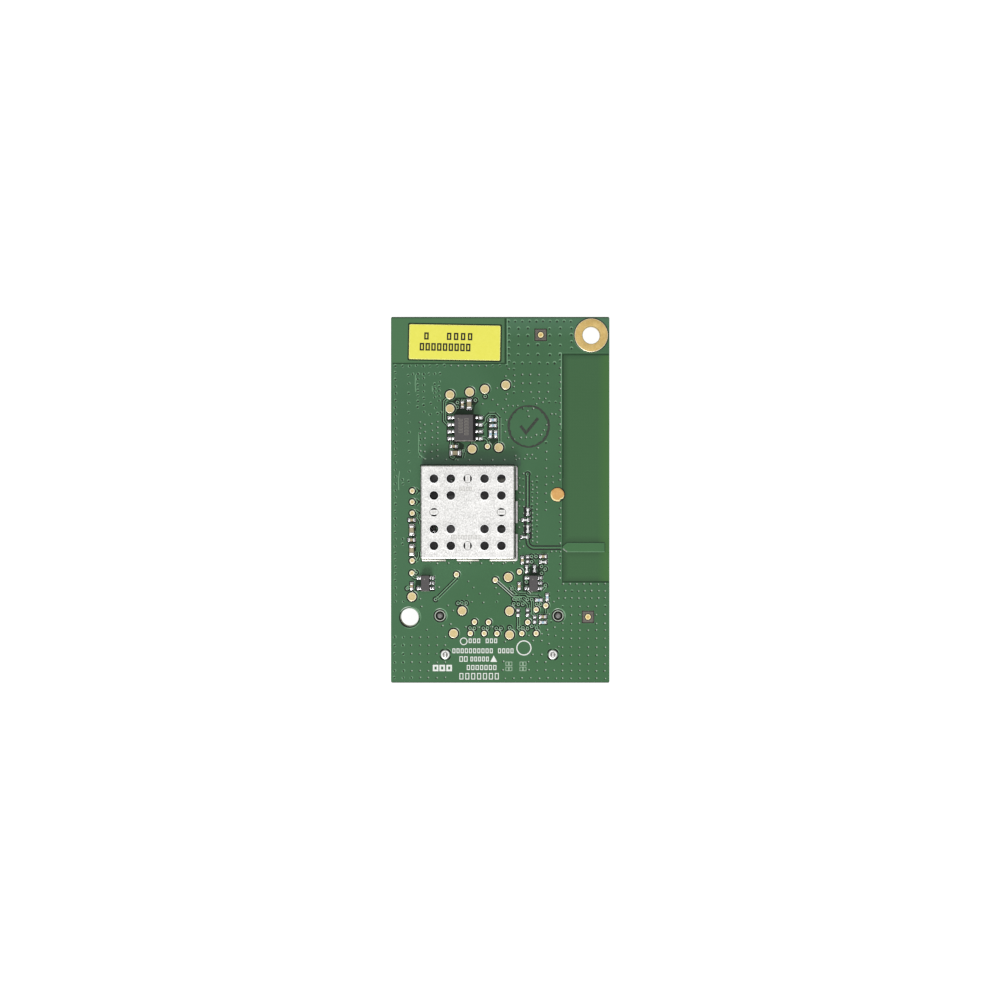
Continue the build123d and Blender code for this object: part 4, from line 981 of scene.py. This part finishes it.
# Each ringed via: a dark ring and a dark middle with a painted lit ring and painted lit crescents, and
# underneath a dimple with a painted lit rim round a dark middle
rings = bmesh.new()
for x, y in spots(*RINGED):
    band(rings, x, y, 0.28, 0.55, 0.014, 1, 20)
    band(rings, x, y, 0.17, 0.32, 0.02, 0, 20)
    disc(rings, x, y, 0.19, 0.016, 1)
    crescent(rings, x, y, 0.25, 0.13, 225, 160, 0.024, 2, 8)
    crescent(rings, x, y, 0.62, 0.08, 35, 110, 0.016, 0, 8)
    turned(rings, x, y, [
        (0.36, -0.002, 0), (0.31, -0.03, 0), (0.2, -0.034, 1), (0.14, -0.006, 1), (0, -0.004, 1),
    ], 20, base=UNDER)
piece("ringed_vias", rings, "mask_lit_edge mask_gap via_lit_side", 40)

# Tented stitching vias in rows, columns and grids, and loose ones, by their places in the photo
stitches = []


def add_rows(upright, *rows):
    """Places from a start to an end in even steps, on a fixed column or row."""
    for start, end, step, fixed in rows:
        for i in range(round((end - start) / step) + 1):
            v = start + i * step
            stitches.append((fixed, v) if upright else (v, fixed))


add_rows(True, (372.6, 600.0, 6.94, 395.4))
add_rows(False, (395.6, 506.0, 6.94, 365.7), (508.5, 571.1, 6.95, 321.4))
add_rows(True, (328.5, 361.0, 6.6, 508.8), (328.5, 350.5, 6.6, 571.4), (354.0, 580.0, 7.0, 560.1))
add_rows(False, (562.8, 604.9, 7.0, 584.0), (558.4, 604.9, 6.66, 591.0), (558.4, 604.9, 6.66, 598.1))
add_rows(True, (383.6, 481.0, 9.75, 408.9), (443.1, 511.0, 8.35, 546.1), (422.4, 457.0, 5.7, 420.2),
         (424.8, 456.0, 6.8, 424.7), (423.8, 457.0, 7.0, 431.9), (421.9, 456.0, 5.65, 437.5),
         (478.4, 545.0, 7.0, 519.4), (473.5, 545.0, 6.6, 523.3), (481.3, 545.0, 4.0, 532.2),
         (476.3, 545.0, 5.5, 536.8))
add_rows(False, (551.3, 561.0, 4.4, 551.5), (446.2, 512.0, 11.6, 459.8), (437.4, 506.0, 11.0, 563.4),
         (505.0, 556.0, 8.5, 678.2))
for columns, rows in (
    ((394.5, 403.2, 411.5, 420.0, 428.4, 436.8, 445.1), (637.0, 645.4, 653.9, 662.4, 670.7, 677.6)),
    ((562.5, 571.0, 579.4, 588.1, 596.4, 604.9),
     (606.4, 614.8, 623.4, 630.3, 638.6, 647.2, 655.5, 663.8, 670.8, 678.3)),
    ((518.3, 528.0, 538.0, 549.6, 560.0), (328.5, 335.6, 345.3, 355.0)),
    ((522.4, 530.5, 539.0, 547.8), (363.5, 374.8, 383.1, 391.9)),
):
    stitches += [(px, py) for px in columns for py in rows]
add_rows(False, (412.4, 439.9, 5.5, 373.7))
add_rows(True, (379.1, 407.0, 5.58, 417.8), (377.8, 411.8, 6.8, 423.6), (383.9, 397.4, 4.5, 434.7),
         (381.7, 400.3, 4.65, 439.2), (363.6, 392.9, 5.86, 514.1))
add_rows(False, (533.5, 545.3, 5.9, 398.6), (542.5, 555.9, 6.7, 402.5), (508.0, 517.6, 4.8, 405.7),
         (519.2, 535.4, 5.4, 458.6), (520.8, 530.8, 5.0, 437.4), (465.6, 492.0, 13.2, 627.2),
         (528.5, 554.0, 8.5, 661.7), (528.5, 554.0, 8.5, 670.2), (532.9, 541.6, 8.7, 640.4),
         (532.9, 541.6, 8.7, 654.4))
LOOSE = [
    408.3, 375.2, 430.8, 403.0, 436.0, 407.6, 430.0, 414.0, 437.4, 413.6, 440.6, 412.0, 402.2, 479.3,
    402.7, 484.1, 402.7, 539.1, 402.5, 544.4, 554.6, 363.5, 505.6, 376.3, 506.0, 399.2, 508.6, 369.1,
    523.8, 401.3, 536.6, 404.0, 533.5, 408.8, 527.5, 410.6, 522.8, 409.0, 502.5, 408.8, 505.4, 412.3,
    528.8, 416.6, 551.9, 413.8, 555.6, 414.0, 502.6, 425.4, 505.0, 431.6, 508.4, 437.6, 506.6, 420.0,
    514.4, 439.6, 515.8, 455.6, 527.0, 454.6, 532.0, 454.6, 538.0, 448.0, 513.0, 447.6, 536.0, 434.6,
    541.6, 434.6, 546.4, 425.0, 543.8, 430.4, 552.9, 476.5, 552.9, 482.3, 468.1, 581.3, 473.8, 587.5,
    480.0, 593.5, 467.5, 595.6, 483.4, 602.3, 495.6, 588.1, 498.5, 593.8, 496.9, 601.9, 471.9, 602.1,
    420.0, 599.1, 439.0, 587.1, 448.1, 605.6, 453.1, 610.4, 450.6, 624.4, 442.5, 626.0, 426.9, 630.0,
    421.3, 606.5, 403.4, 601.3, 553.8, 601.9, 547.5, 630.0, 554.6, 627.5, 548.1, 635.0, 555.4, 636.0,
    551.0, 621.9, 549.1, 614.4, 541.9, 633.8, 528.8, 635.6, 505.4, 641.6, 492.4, 399.6, 497.2, 404.4,
    507.0, 394.0, 497.0, 388.4, 482.6, 404.0, 505.6, 563.1, 513.4, 563.2, 549.0, 643.5, 558.3, 646.6,
    503.1, 661.5, 503.1, 670.0,
]
stitches += zip(LOOSE[::2], LOOSE[1::2])

# Underneath, each tented via is a dimple with a painted soft highlight round a dark middle
tents = bmesh.new()
for px, py in stitches:
    px += random.uniform(-0.3, 0.3)
    py += random.uniform(-0.3, 0.3)
    x, y = spot(px, py)
    if not is_clear(x, y):
        continue
    size = random.uniform(0.85, 1.15)
    if (py < 366 and px > 500) or px < 411 or (px < 446 and py < 416) or random.random() < 0.06:
        # Facing away from the light: a dark pit under a lit arc
        tilt = 85 if px > 500 else random.choice((110, 200, 20))
        big = 1.2 if px > 500 and py < 366 else 1.0
        disc(tents, x, y - 0.04, 0.14 * size * big, 0.014, 1, 8)
        crescent(tents, x, y, 0.25 * size * big, 0.13 * big, tilt, 150 * big, 0.01, 2, 10)
        if px < 500:
            crescent(tents, x, y, 0.25 * size, 0.08, tilt + 180, 110, 0.01, 2, 8)
    else:
        # Facing the light: a bright dome with a shaded side
        disc(tents, x - 0.1, y - 0.06, 0.15 * size, 0.01, 1, 8)
        disc(tents, x + 0.06, y + 0.04, 0.125 * size, 0.016, 0, 8)
    turned(tents, x, y, [
        (0.3, -0.001, 3), (0.22, -0.022, 3), (0.14, -0.018, 1), (0.08, -0.004, 1), (0, -0.002, 1),
    ], 12, base=UNDER)
# A painted soft highlight, as of a low ridge, joins the vias along the left edge, and thin lit lines join
# others
strip(tents, [spot(394.0 + 0.5 * math.sin(k * 0.9), 369.0 + 3.5 * k) for k in range(67)], 0.12, 0.004, 3)
for numbers in ((418.7, 432.4, 418.7, 452.0, 420.0, 455.2, 423.0, 457.4, 426.6, 459.2),
                (415.4, 374.8, 415.2, 384.0, 415.6, 391.8), (432.2, 386.0, 432.4, 391.6),
                (399.6, 471.0, 398.4, 480.0, 398.8, 490.0)):
    strip(tents, spots(*numbers), 0.06, 0.006, 2)
piece("tented_vias", tents, "via_lit_side via_dark_side mask_lit_edge mask_soft_edge", 40)

# Shield cover: drawn sheet with round and strip vents
FLARE_X, FOOT_X = 0.22, 0.33
FLARE_Y, FOOT_Y = 0.21, 0.27
SHEET, EDGE_R, VENT_R, STRIP_HALF, VENT_SIDES = 0.2, 0.3, 0.77, 0.44, 48
box = box_mm("shield_cover")
X0, X1 = box.lo.x, box.hi.x - FLARE_X - FOOT_X
Y0, Y1 = box.lo.y + FLARE_Y + FOOT_Y, box.hi.y
COVER_TOP = box.hi.z
MID_X, MID_Y = (X0 + X1) / 2, (Y0 + Y1) / 2
VENT_EDGE = 4.8
CELL_X, CELL_Y = (X1 - X0 - VENT_EDGE) / 8, (Y1 - Y0 - VENT_EDGE) / 8
cover = bmesh.new()


def level_ring(points, z):
    return ring_of(cover, [(x, y, z) for x, y in points])


def vent_cell(cx, cy):
    """A square of sheet with a round vent whose rolled edges carry a painted highlight."""
    square = []
    for u, v in circle(0, 0, 1, VENT_SIDES):
        reach = max(abs(u), abs(v))
        square.append((cx + CELL_X * u / reach, cy + CELL_Y * v / reach))
    last = level_ring(square, COVER_TOP)
    for grow, lift, look in (
        (0.13, 0.0, 0), (0.1, 0.012, 1), (0.04, 0.008, 1), (0.0, -0.04, 1), (0.0, 0.03 - SHEET, 0),
        (0.03, -SHEET, 0),
    ):
        now = level_ring(circle(cx, cy, VENT_R + grow, VENT_SIDES), COVER_TOP + lift)
        bridge(cover, last, now, look)
        last = now
    bridge(cover, last, level_ring(square, COVER_TOP - SHEET))


def slab(points):
    """A flat piece of sheet from its outline."""
    top, low = level_ring(points, COVER_TOP), level_ring(points, COVER_TOP - SHEET)
    cap(cover, top)
    cap(cover, low[::-1])
    bridge(cover, top, low)


def plain_slab(x0, y0, x1, y1):
    slab([(x0, y0), (x1, y0), (x1, y1), (x0, y1)])


def strip_cell(cx, cy, upright):
    """A square of sheet with a vent crossed by a strip."""
    hx, hy = (CELL_X, CELL_Y) if upright else (CELL_Y, CELL_X)
    alpha = math.acos(STRIP_HALF / VENT_R)

    def turn(u, v):
        return (cx + u, cy + v) if upright else (cx + v, cy + u)

    corners = (-STRIP_HALF, -hy), (STRIP_HALF, -hy), (STRIP_HALF, hy), (-STRIP_HALF, hy)
    slab([turn(u, v) for u, v in corners])
    for side in (1, -1):
        outline = [(STRIP_HALF, -hy), (hx, -hy), (hx, hy), (STRIP_HALF, hy)]
        for i in range(17):
            a = alpha * (1 - i / 8)
            outline.append((VENT_R * math.cos(a), VENT_R * math.sin(a)))
        slab([turn(side * u, v) for u, v in outline])


strip_cells = {(0, 2): True, (0, -2): True, (-2, 0): False, (2, 0): False}
for i in range(-2, 3):
    for j in range(-2, 3):
        cx, cy = MID_X + 2 * i * CELL_X, MID_Y + 2 * j * CELL_Y
        if i and j:
            vent_cell(cx, cy)
        elif (i, j) in strip_cells:
            strip_cell(cx, cy, strip_cells[(i, j)])
        else:
            plain_slab(cx - CELL_X, cy - CELL_Y, cx + CELL_X, cy + CELL_Y)
GRID_X0, GRID_X1 = MID_X - 5 * CELL_X, MID_X + 5 * CELL_X
GRID_Y0, GRID_Y1 = MID_Y - 5 * CELL_Y, MID_Y + 5 * CELL_Y
plain_slab(X0 + EDGE_R, Y0 + EDGE_R, GRID_X0, Y1 - EDGE_R)
plain_slab(GRID_X1, Y0 + EDGE_R, X1 - EDGE_R, Y1 - EDGE_R)
plain_slab(GRID_X0, Y0 + EDGE_R, GRID_X1, GRID_Y0)
plain_slab(GRID_X0, GRID_Y1, GRID_X1, Y1 - EDGE_R)
bmesh.ops.remove_doubles(cover, verts=cover.verts, dist=1e-5)
piece("cover_plate", cover, "tin_sheet tin_rim", 30, "shield_cover")

# The cover's rolled edge, skirts in tabs, flares and feet, as one sheet given its thickness
NOTCH_AT, NOTCH_HALF, NOTCH_TOP = 3.01, 1.0, COVER_TOP - 0.65
FLARE_TOP, FOOT_TOP = TOP + 0.9, TOP + 0.5
CORNER, CORNER_STEPS, ROLL_STEPS = 0.3, 5, 5
breaks = [side * NOTCH_AT + end * NOTCH_HALF for side in (-1, 1) for end in (-1, 1)]
skirt = bmesh.new()


def skirt_ring(x0, x1, y0, y1, corner, right, back, left, front):
    """One ring of the skirt with points at the notch ends, and the height of each of its sides."""
    points = []
    sides = (
        ([(x1, MID_Y + b) for b in breaks], x1 - corner, y1 - corner, right, back),
        ([(MID_X + b, y1) for b in breaks[::-1]], x0 + corner, y1 - corner, back, left),
        ([(x0, MID_Y + b) for b in breaks[::-1]], x0 + corner, y0 + corner, left, front),
        ([(MID_X + b, y0) for b in breaks], x1 - corner, y0 + corner, front, right),
    )
    for quarter, (side, cx, cy, za, zb) in enumerate(sides):
        points += [(x, y, za) for x, y in side]
        for i in range(CORNER_STEPS + 1):
            t = i / CORNER_STEPS
            a = math.pi / 2 * (quarter + t)
            points.append((cx + corner * math.cos(a), cy + corner * math.sin(a), za + (zb - za) * t))
    return ring_of(skirt, points)


sheet_rings = []
for i in range(ROLL_STEPS + 1):
    a = math.pi / 2 * i / ROLL_STEPS
    inset = EDGE_R * (1 - math.sin(a))
    level = [COVER_TOP - EDGE_R * (1 - math.cos(a))] * 4
    corner = max(CORNER - inset, 0.012)
    sheet_rings.append(skirt_ring(X0 + inset, X1 - inset, Y0 + inset, Y1 - inset, corner, *level))
notch_from = len(sheet_rings)
X1F, Y0F = X1 + FLARE_X, Y0 - FLARE_Y
SKIRT_LOW, SKIRT_END = TOP + 0.45, TOP + 0.3
sheet_rings += [
    skirt_ring(X0, X1, Y0, Y1, CORNER, *[NOTCH_TOP] * 4),
    skirt_ring(X0, X1, Y0, Y1, CORNER, *[FLARE_TOP] * 4),
    skirt_ring(X0, X1F, Y0F, Y1, CORNER, *[FOOT_TOP] * 4),
    skirt_ring(X0, X1F + 0.04, Y0F - 0.04, Y1, CORNER,
               FOOT_TOP - 0.03, SKIRT_LOW, SKIRT_LOW, FOOT_TOP - 0.03),
    skirt_ring(X0, box.hi.x, box.lo.y, Y1, CORNER + 0.1,
               FOOT_TOP - 0.04, SKIRT_END, SKIRT_END, FOOT_TOP - 0.04),
]
# The notches are open, and the flares to the right and to the front lie in their own shade
count = len(sheet_rings[0])
side_starts = [k * count // 4 for k in range(4)]
notch_quads = {start + k for start in side_starts for k in (0, 2)}
right_quads = [*range(4), count - 1]
front_quads = range(side_starts[3] - 1, side_starts[3] + 4)
for index, (upper, lower) in enumerate(zip(sheet_rings, sheet_rings[1:])):
    for i in range(count):
        if index >= notch_from and i in notch_quads:
            continue
        j = (i + 1) % count
        face = skirt.faces.new((upper[i], upper[j], lower[j], lower[i]))
        if index == notch_from + 1 and (i in right_quads or i in front_quads):
            face.material_index = 1
        elif index > notch_from + 1 and i in front_quads:
            face.material_index = 2
made = piece("cover_skirt", skirt, "tin_sheet tin_in_shade tin_foot", 35, "shield_cover")
thick = made.modifiers.new("sheet", "SOLIDIFY")
thick.thickness = SHEET * MM
thick.offset = -1
soften(made, 0.03, 50)

# Painted shadow on the mask round the shield: under its front and right edges, beyond the frame's
# feet, and along its left and back sides
foot_shadow = bmesh.new()
SHADOW_LIFT = 0.012
front_stops = [X0, *(MID_X + b for b in breaks), X1F]
right_stops = [Y0F, *(MID_Y + b for b in breaks), Y1]
for path, left, right in (
    ([(X0, Y0), (X1, Y0)], 0.1, -0.2), ([(X1, Y0), (X1, Y1)], 0.1, -0.22),
    *(([(a, box.lo.y), (b, box.lo.y)], 0.06, -0.1) for a, b in zip(front_stops[::2], front_stops[1::2])),
    *(([(box.hi.x, a), (box.hi.x, b)], 0.06, -0.1) for a, b in zip(right_stops[::2], right_stops[1::2])),
    ([(X0 - 0.08, Y0), (X0 - 0.08, Y1 + 0.1), (X1, Y1 + 0.1)], 0.12, -0.06),
):
    along(foot_shadow, path, [(left, SHADOW_LIFT), (right, SHADOW_LIFT)])
piece("frame_foot_shadow", foot_shadow, "mask_gap")

# Pressed lines on the cover: the arcs of the strip vents, and two rows of faint plain marks
lines = bmesh.new()
alpha = math.asin(STRIP_HALF / VENT_R)
arc = [(VENT_R * math.sin(a), VENT_R * math.cos(a)) for a in (alpha * (k / 4 - 1) for k in range(9))]
for (i, j), upright in strip_cells.items():
    cx, cy = MID_X + 2 * i * CELL_X, MID_Y + 2 * j * CELL_Y
    for path, lift, look in (
        (arc, 0.004, 0), ([(u, -v) for u, v in arc], 0.004, 0),
        ([(0.1, -0.45), (0.1, 0.45)], 0.003, 1), ([(-0.1, -0.45), (-0.1, 0.45)], 0.003, 1),
    ):
        points = [(cx + u, cy + v) if upright else (cx + v, cy + u) for u, v in path]
        strip(lines, points, 0.05, COVER_TOP - TOP + lift, look)
for x0, count, py, height in ((459.6, 4, 489.0, 4.2), (451.6, 9, 536.8, 4.4)):
    print_row(lines, at_height(COVER_TOP + 0.005), x0, 3.3, count, py - height / 2, 2.4, height, 0.7, 1)
piece("pressed_lines", lines, "tin_pressed_line tin_etched_mark")


# Chip parts: soft-cornered ends and bodies from the boxes of their solids
def chip_set(kind, look, waist=1.0):
    """Rounded ends and bodies for a kind of chip part."""
    body_node, end_node = kind + "_bodies", kind + "_ends"
    bodies = bmesh.new()
    for b in islands(body_node):
        hx, hy = b.hx, b.hy
        if waist < 1:
            near = min(islands(end_node), key=lambda end: math.hypot(end.x - b.x, end.y - b.y))
            lies_level = abs(near.x - b.x) > abs(near.y - b.y)
            hx, hy = (hx, hy * waist) if lies_level else (hx * waist, hy)
        stacked(bodies, [
            rounded(b.x, b.y, hx, hy, 0.03, b.lo.z), rounded(b.x, b.y, hx, hy, 0.03, b.hi.z - 0.03),
            rounded(b.x, b.y, hx - 0.02, hy - 0.03, 0.03, b.hi.z),
        ])
    piece("dressed_" + body_node, bodies, look, 35, body_node)
    ends = bmesh.new()
    for b in islands(end_node):
        r = min(b.hx, b.hy) * 0.6
        tall = b.hi.z - b.lo.z
        shoulder = b.lo.z + tall * 0.75
        loops = [rounded(b.x, b.y, b.hx, b.hy, r * 0.6, b.lo.z)]
        loops.append(rounded(b.x, b.y, b.hx, b.hy, r * 0.8, shoulder))
        for k in range(1, 6):
            a = math.pi / 2 * k / 5
            inset = r * 0.7 * (1 - math.cos(a))
            z = shoulder + tall * 0.25 * math.sin(a)
            loops.append(rounded(b.x, b.y, b.hx - inset, b.hy - inset, r, z))
        stacked(ends, loops)
    piece("dressed_" + end_node, ends, "solder", 60, end_node)


chip_set("large_cap", "fired_ceramic")
chip_set("small_cap", "pale_fired_ceramic")
chip_set("matching", "glass_ceramic", 0.6)
chip_set("resistor", "white_alumina")

# Faint layers show on top of the larger capacitors
layers = bmesh.new()
for b in islands("large_cap_bodies"):
    for step in (-0.2, 0.0, 0.2):
        if b.hx > b.hy:
            ends = [(b.x + step, b.lo.y + 0.06), (b.x + step, b.hi.y - 0.06)]
        else:
            ends = [(b.lo.x + 0.06, b.y + step), (b.hi.x - 0.06, b.y + step)]
        strip(layers, ends, 0.04, b.hi.z - TOP + 0.004)
piece("cap_layers", layers, "pale_fired_ceramic")

# Glazed tops of the resistors: black on the ones at these places in the photo, blue on the rest
BLACK_TOPPED = spots(518.0, 612.6, 527.6, 612.5, 534.7, 619.5, 527.6, 559.3)
glazes = {"blue_glaze": bmesh.new(), "black_glaze": bmesh.new()}
for b in islands("resistor_bodies"):
    is_black = any(math.hypot(b.x - x, b.y - y) < 0.4 for x, y in BLACK_TOPPED)
    hx = b.hx + (0.06 if is_black else -0.04)
    stacked(glazes["black_glaze" if is_black else "blue_glaze"], [
        rounded(b.x, b.y, hx, b.hy - 0.04, 0.04, b.hi.z - 0.005),
        rounded(b.x, b.y, hx - 0.02, b.hy - 0.06, 0.04, b.hi.z + 0.018),
    ])
for name, mesh in glazes.items():
    piece(name, mesh, name, 35)

# Solder: a concave slope from each land up the end it holds, in a dark opening of the mask with a
# painted lit line along its right and back sides
FILLET_TALL = 0.24
fillets, openings = bmesh.new(), bmesh.new()
for b in islands("solder_lands"):
    loops = []
    for k in range(7):
        t = k / 6
        grow = 0.03 * (1 - t) - min(b.hx, b.hy) * 0.6 * (1 - (1 - t) ** 1.6)
        z = TOP + 0.03 + FILLET_TALL * t ** 1.7
        loops.append(rounded(b.x, b.y, b.hx + grow, b.hy + grow, 0.12, z, 5))
    stacked(fillets, loops)
    far, near = (ring_of(openings, rounded(b.x, b.y, b.hx + d, b.hy + d, max(d, 0.04), TOP + 0.016))
                 for d in (0.2, 0.02))
    bridge(openings, far, near)
    x, y = b.hi.x + 0.22, b.hi.y + 0.22
    strip(openings, [(x, b.lo.y + 0.1), (x, y), (b.lo.x + 0.1, y)], 0.04, 0.01, 1)
piece("solder_fillets", fillets, "solder", 70)
piece("mask_openings", openings, "mask_gap mask_lit_edge")


# Leads of the moulded chips: shoulder, bend and foot, tinned and soldered
def lead_set(chip, shoulder, bend, bend_look):
    """Gull-wing leads from the boxes of their solids; shoulder and bend are lengths from the body."""
    node = chip + "_leads"
    mesh = bmesh.new()
    body = box_mm(chip + "_body")
    for b in islands(node):
        out = 1 if b.x > body.x else -1
        start = b.lo.x if out > 0 else b.hi.x
        top, foot, length = b.hi.z, b.lo.z + 0.2, 2 * b.hx
        last, last_look = None, 0
        for u, z, look in (
            (-0.06, top - 0.03, 0), (0.0, top - 0.01, 0), (shoulder * 0.5, top, 0),
            (shoulder, top - 0.02, bend_look), (shoulder + bend * 0.3, top - 0.14, bend_look),
            (shoulder + bend * 0.8, foot + 0.08, bend_look), (shoulder + bend, foot + 0.03, 0),
            (length - 0.05, foot, 0), (length, foot - 0.05, 0),
        ):
            x = start + out * u
            section = ring_of(mesh, [(x, b.y + v, z + dz) for v, dz in (
                (-b.hy, -0.18), (-b.hy, -0.05), (0.06 - b.hy, 0), (b.hy - 0.06, 0), (b.hy, -0.05),
                (b.hy, -0.18),
            )])
            if last:
                bridge(mesh, last, section, last_look)
            else:
                cap(mesh, section)
            last, last_look = section, look
        cap(mesh, last)
    piece("dressed_" + node, mesh, "solder lead_bend lead_bend_dark", 50, node)


lead_set("memory", 0.42, 0.22, 1)
lead_set("left_regulator", 0.24, 0.16, 2)
lead_set("right_regulator", 0.24, 0.16, 2)

# Solder round the hold-down legs: a bright collar with a shaded dip round the leg's tip
# Round each leg, dark relief arcs in the copper with painted lit arcs outside them, brightest at the upper
# right
cones, reliefs = bmesh.new(), bmesh.new()
for b in islands("hold_down_solder"):
    turned(cones, b.x, b.y, [
        (0.85, 0.004, 0), (0.83, 0.06, 0), (0.76, 0.11, 0), (0.66, 0.13, 0), (0.52, 0.12, 1),
        (0.44, 0.1, 1), (0.22, 0.11, 1), (0.16, 0.17, 0), (0.1, 0.19, 0), (0, 0.195, 0),
    ], 48, 0.02)
    for angle, look in ((45, 2), (135, 1), (225, 1), (315, 1)):
        crescent(reliefs, b.x, b.y, 1.02, 0.26, angle, 74, 0.012, 0, 8)
        crescent(reliefs, b.x, b.y, 1.24, 0.12, angle, 70, 0.01, look, 8)
piece("tab_solder", cones, "solder_collar solder_in_shade", 60, "hold_down_solder")
piece("tab_reliefs", reliefs, "mask_gap mask_soft_edge mask_lit_edge")

# Peg tips seen in their holes, dark down the side
tips = bmesh.new()
for x, y in pegs:
    turned(tips, x, y, [
        (0.74, -0.9, 1), (0.72, -0.34, 1), (0.52, -0.26, 1), (0.44, -0.2, 0), (0.34, -0.15, 0),
        (0.16, -0.14, 0), (0, -0.17, 0),
    ])
piece("peg_tips", tips, "peg_nylon hole_in_shade", 40)

# A moulded dot near one corner of each moulded chip, and plain marks on the memory chip
marks = bmesh.new()
for node, dx, dy, r in (
    ("memory_body", 0.75, 0.8, 0.14), ("left_regulator_body", 0.65, 0.7, 0.12),
    ("right_regulator_body", 0.65, 0.7, 0.1), ("radio_chip", 1.1, 1.1, 0.3),
):
    b = box_mm(node)
    disc(marks, b.lo.x + dx, b.hi.y - dy, r, b.hi.z - TOP + 0.004, 0, 16)
on_chip = at_height(box_mm("memory_body").hi.z + 0.004)
for px, y0, count in ((458.8, 419.4, 5), (464.6, 418.8, 6)):
    for k in range(count):
        print_row(marks, on_chip, px, 0, 1, y0 + 2.9 * k, 4.0, 2.1, 0.5)
piece("chip_marks", marks, "moulded_mark")

# Stage: pale floor, soft light from above and from the lower left
floor_look = Look("floor_pale")
floor_tone = floor_look.mix(floor_look.noise(60.0), (0.12, 0.12, 0.12, 1), (0.14, 0.14, 0.14, 1))
floor_look.finish(floor_tone, 0.7, 0.0, 0.2)
floor_look.shader.inputs["Emission Color"].default_value = (1, 1, 1, 1)
floor_look.shader.inputs["Emission Strength"].default_value = 0.95
floor_mesh = bmesh.new()
bmesh.ops.create_grid(floor_mesh, x_segments=8, y_segments=8, size=2.0)
floor_data = bpy.data.meshes.new("floor")
floor_mesh.to_mesh(floor_data)
floor_mesh.free()
floor_data.materials.append(floor_look.mat)
floor = bpy.data.objects.new("floor", floor_data)
floor.location.z = -0.03 * MM
bpy.context.scene.collection.objects.link(floor)

world = bpy.data.worlds.new("studio")
bpy.context.scene.world = world
world.use_nodes = True
world.node_tree.nodes["Background"].inputs["Color"].default_value = (1, 1, 1, 1)
world.node_tree.nodes["Background"].inputs["Strength"].default_value = 0.42


def area_light(name, place, target, size, radiance):
    """A square soft light at a place, turned to a target, with a given brightness of its face."""
    data = bpy.data.lights.new(name, "AREA")
    data.shape = "SQUARE"
    data.size = size
    data.energy = radiance * math.pi * size * size
    made = bpy.data.objects.new(name, data)
    made.location = place
    made.rotation_euler = (Vector(target) - Vector(place)).to_track_quat("-Z", "Y").to_euler()
    bpy.context.scene.collection.objects.link(made)


area_light("overhead", (0, 0, 0.56), (0, 0, 0), 0.6, 0.98)
area_light("key", (-0.1, -0.37, 0.25), (0, 0, 0.005), 0.18, 18.6)

# Camera straight above, as in the photo
CAMERA_UP, SENSOR, PHOTO_SIDE = 0.3, 36, 1000
camera_data = bpy.data.cameras.new("camera")
camera_data.sensor_width = SENSOR
camera_data.lens = SENSOR * CAMERA_UP / (PHOTO_SIDE / PHOTO_SCALE * MM)
camera_data.clip_start = 0.01
camera_data.clip_end = 20
camera = bpy.data.objects.new("camera", camera_data)
camera.location = (-0.000037, -0.000037, TOP * MM + CAMERA_UP)
bpy.context.scene.collection.objects.link(camera)
bpy.context.scene.camera = camera
bpy.context.scene.view_settings.view_transform = "Standard"
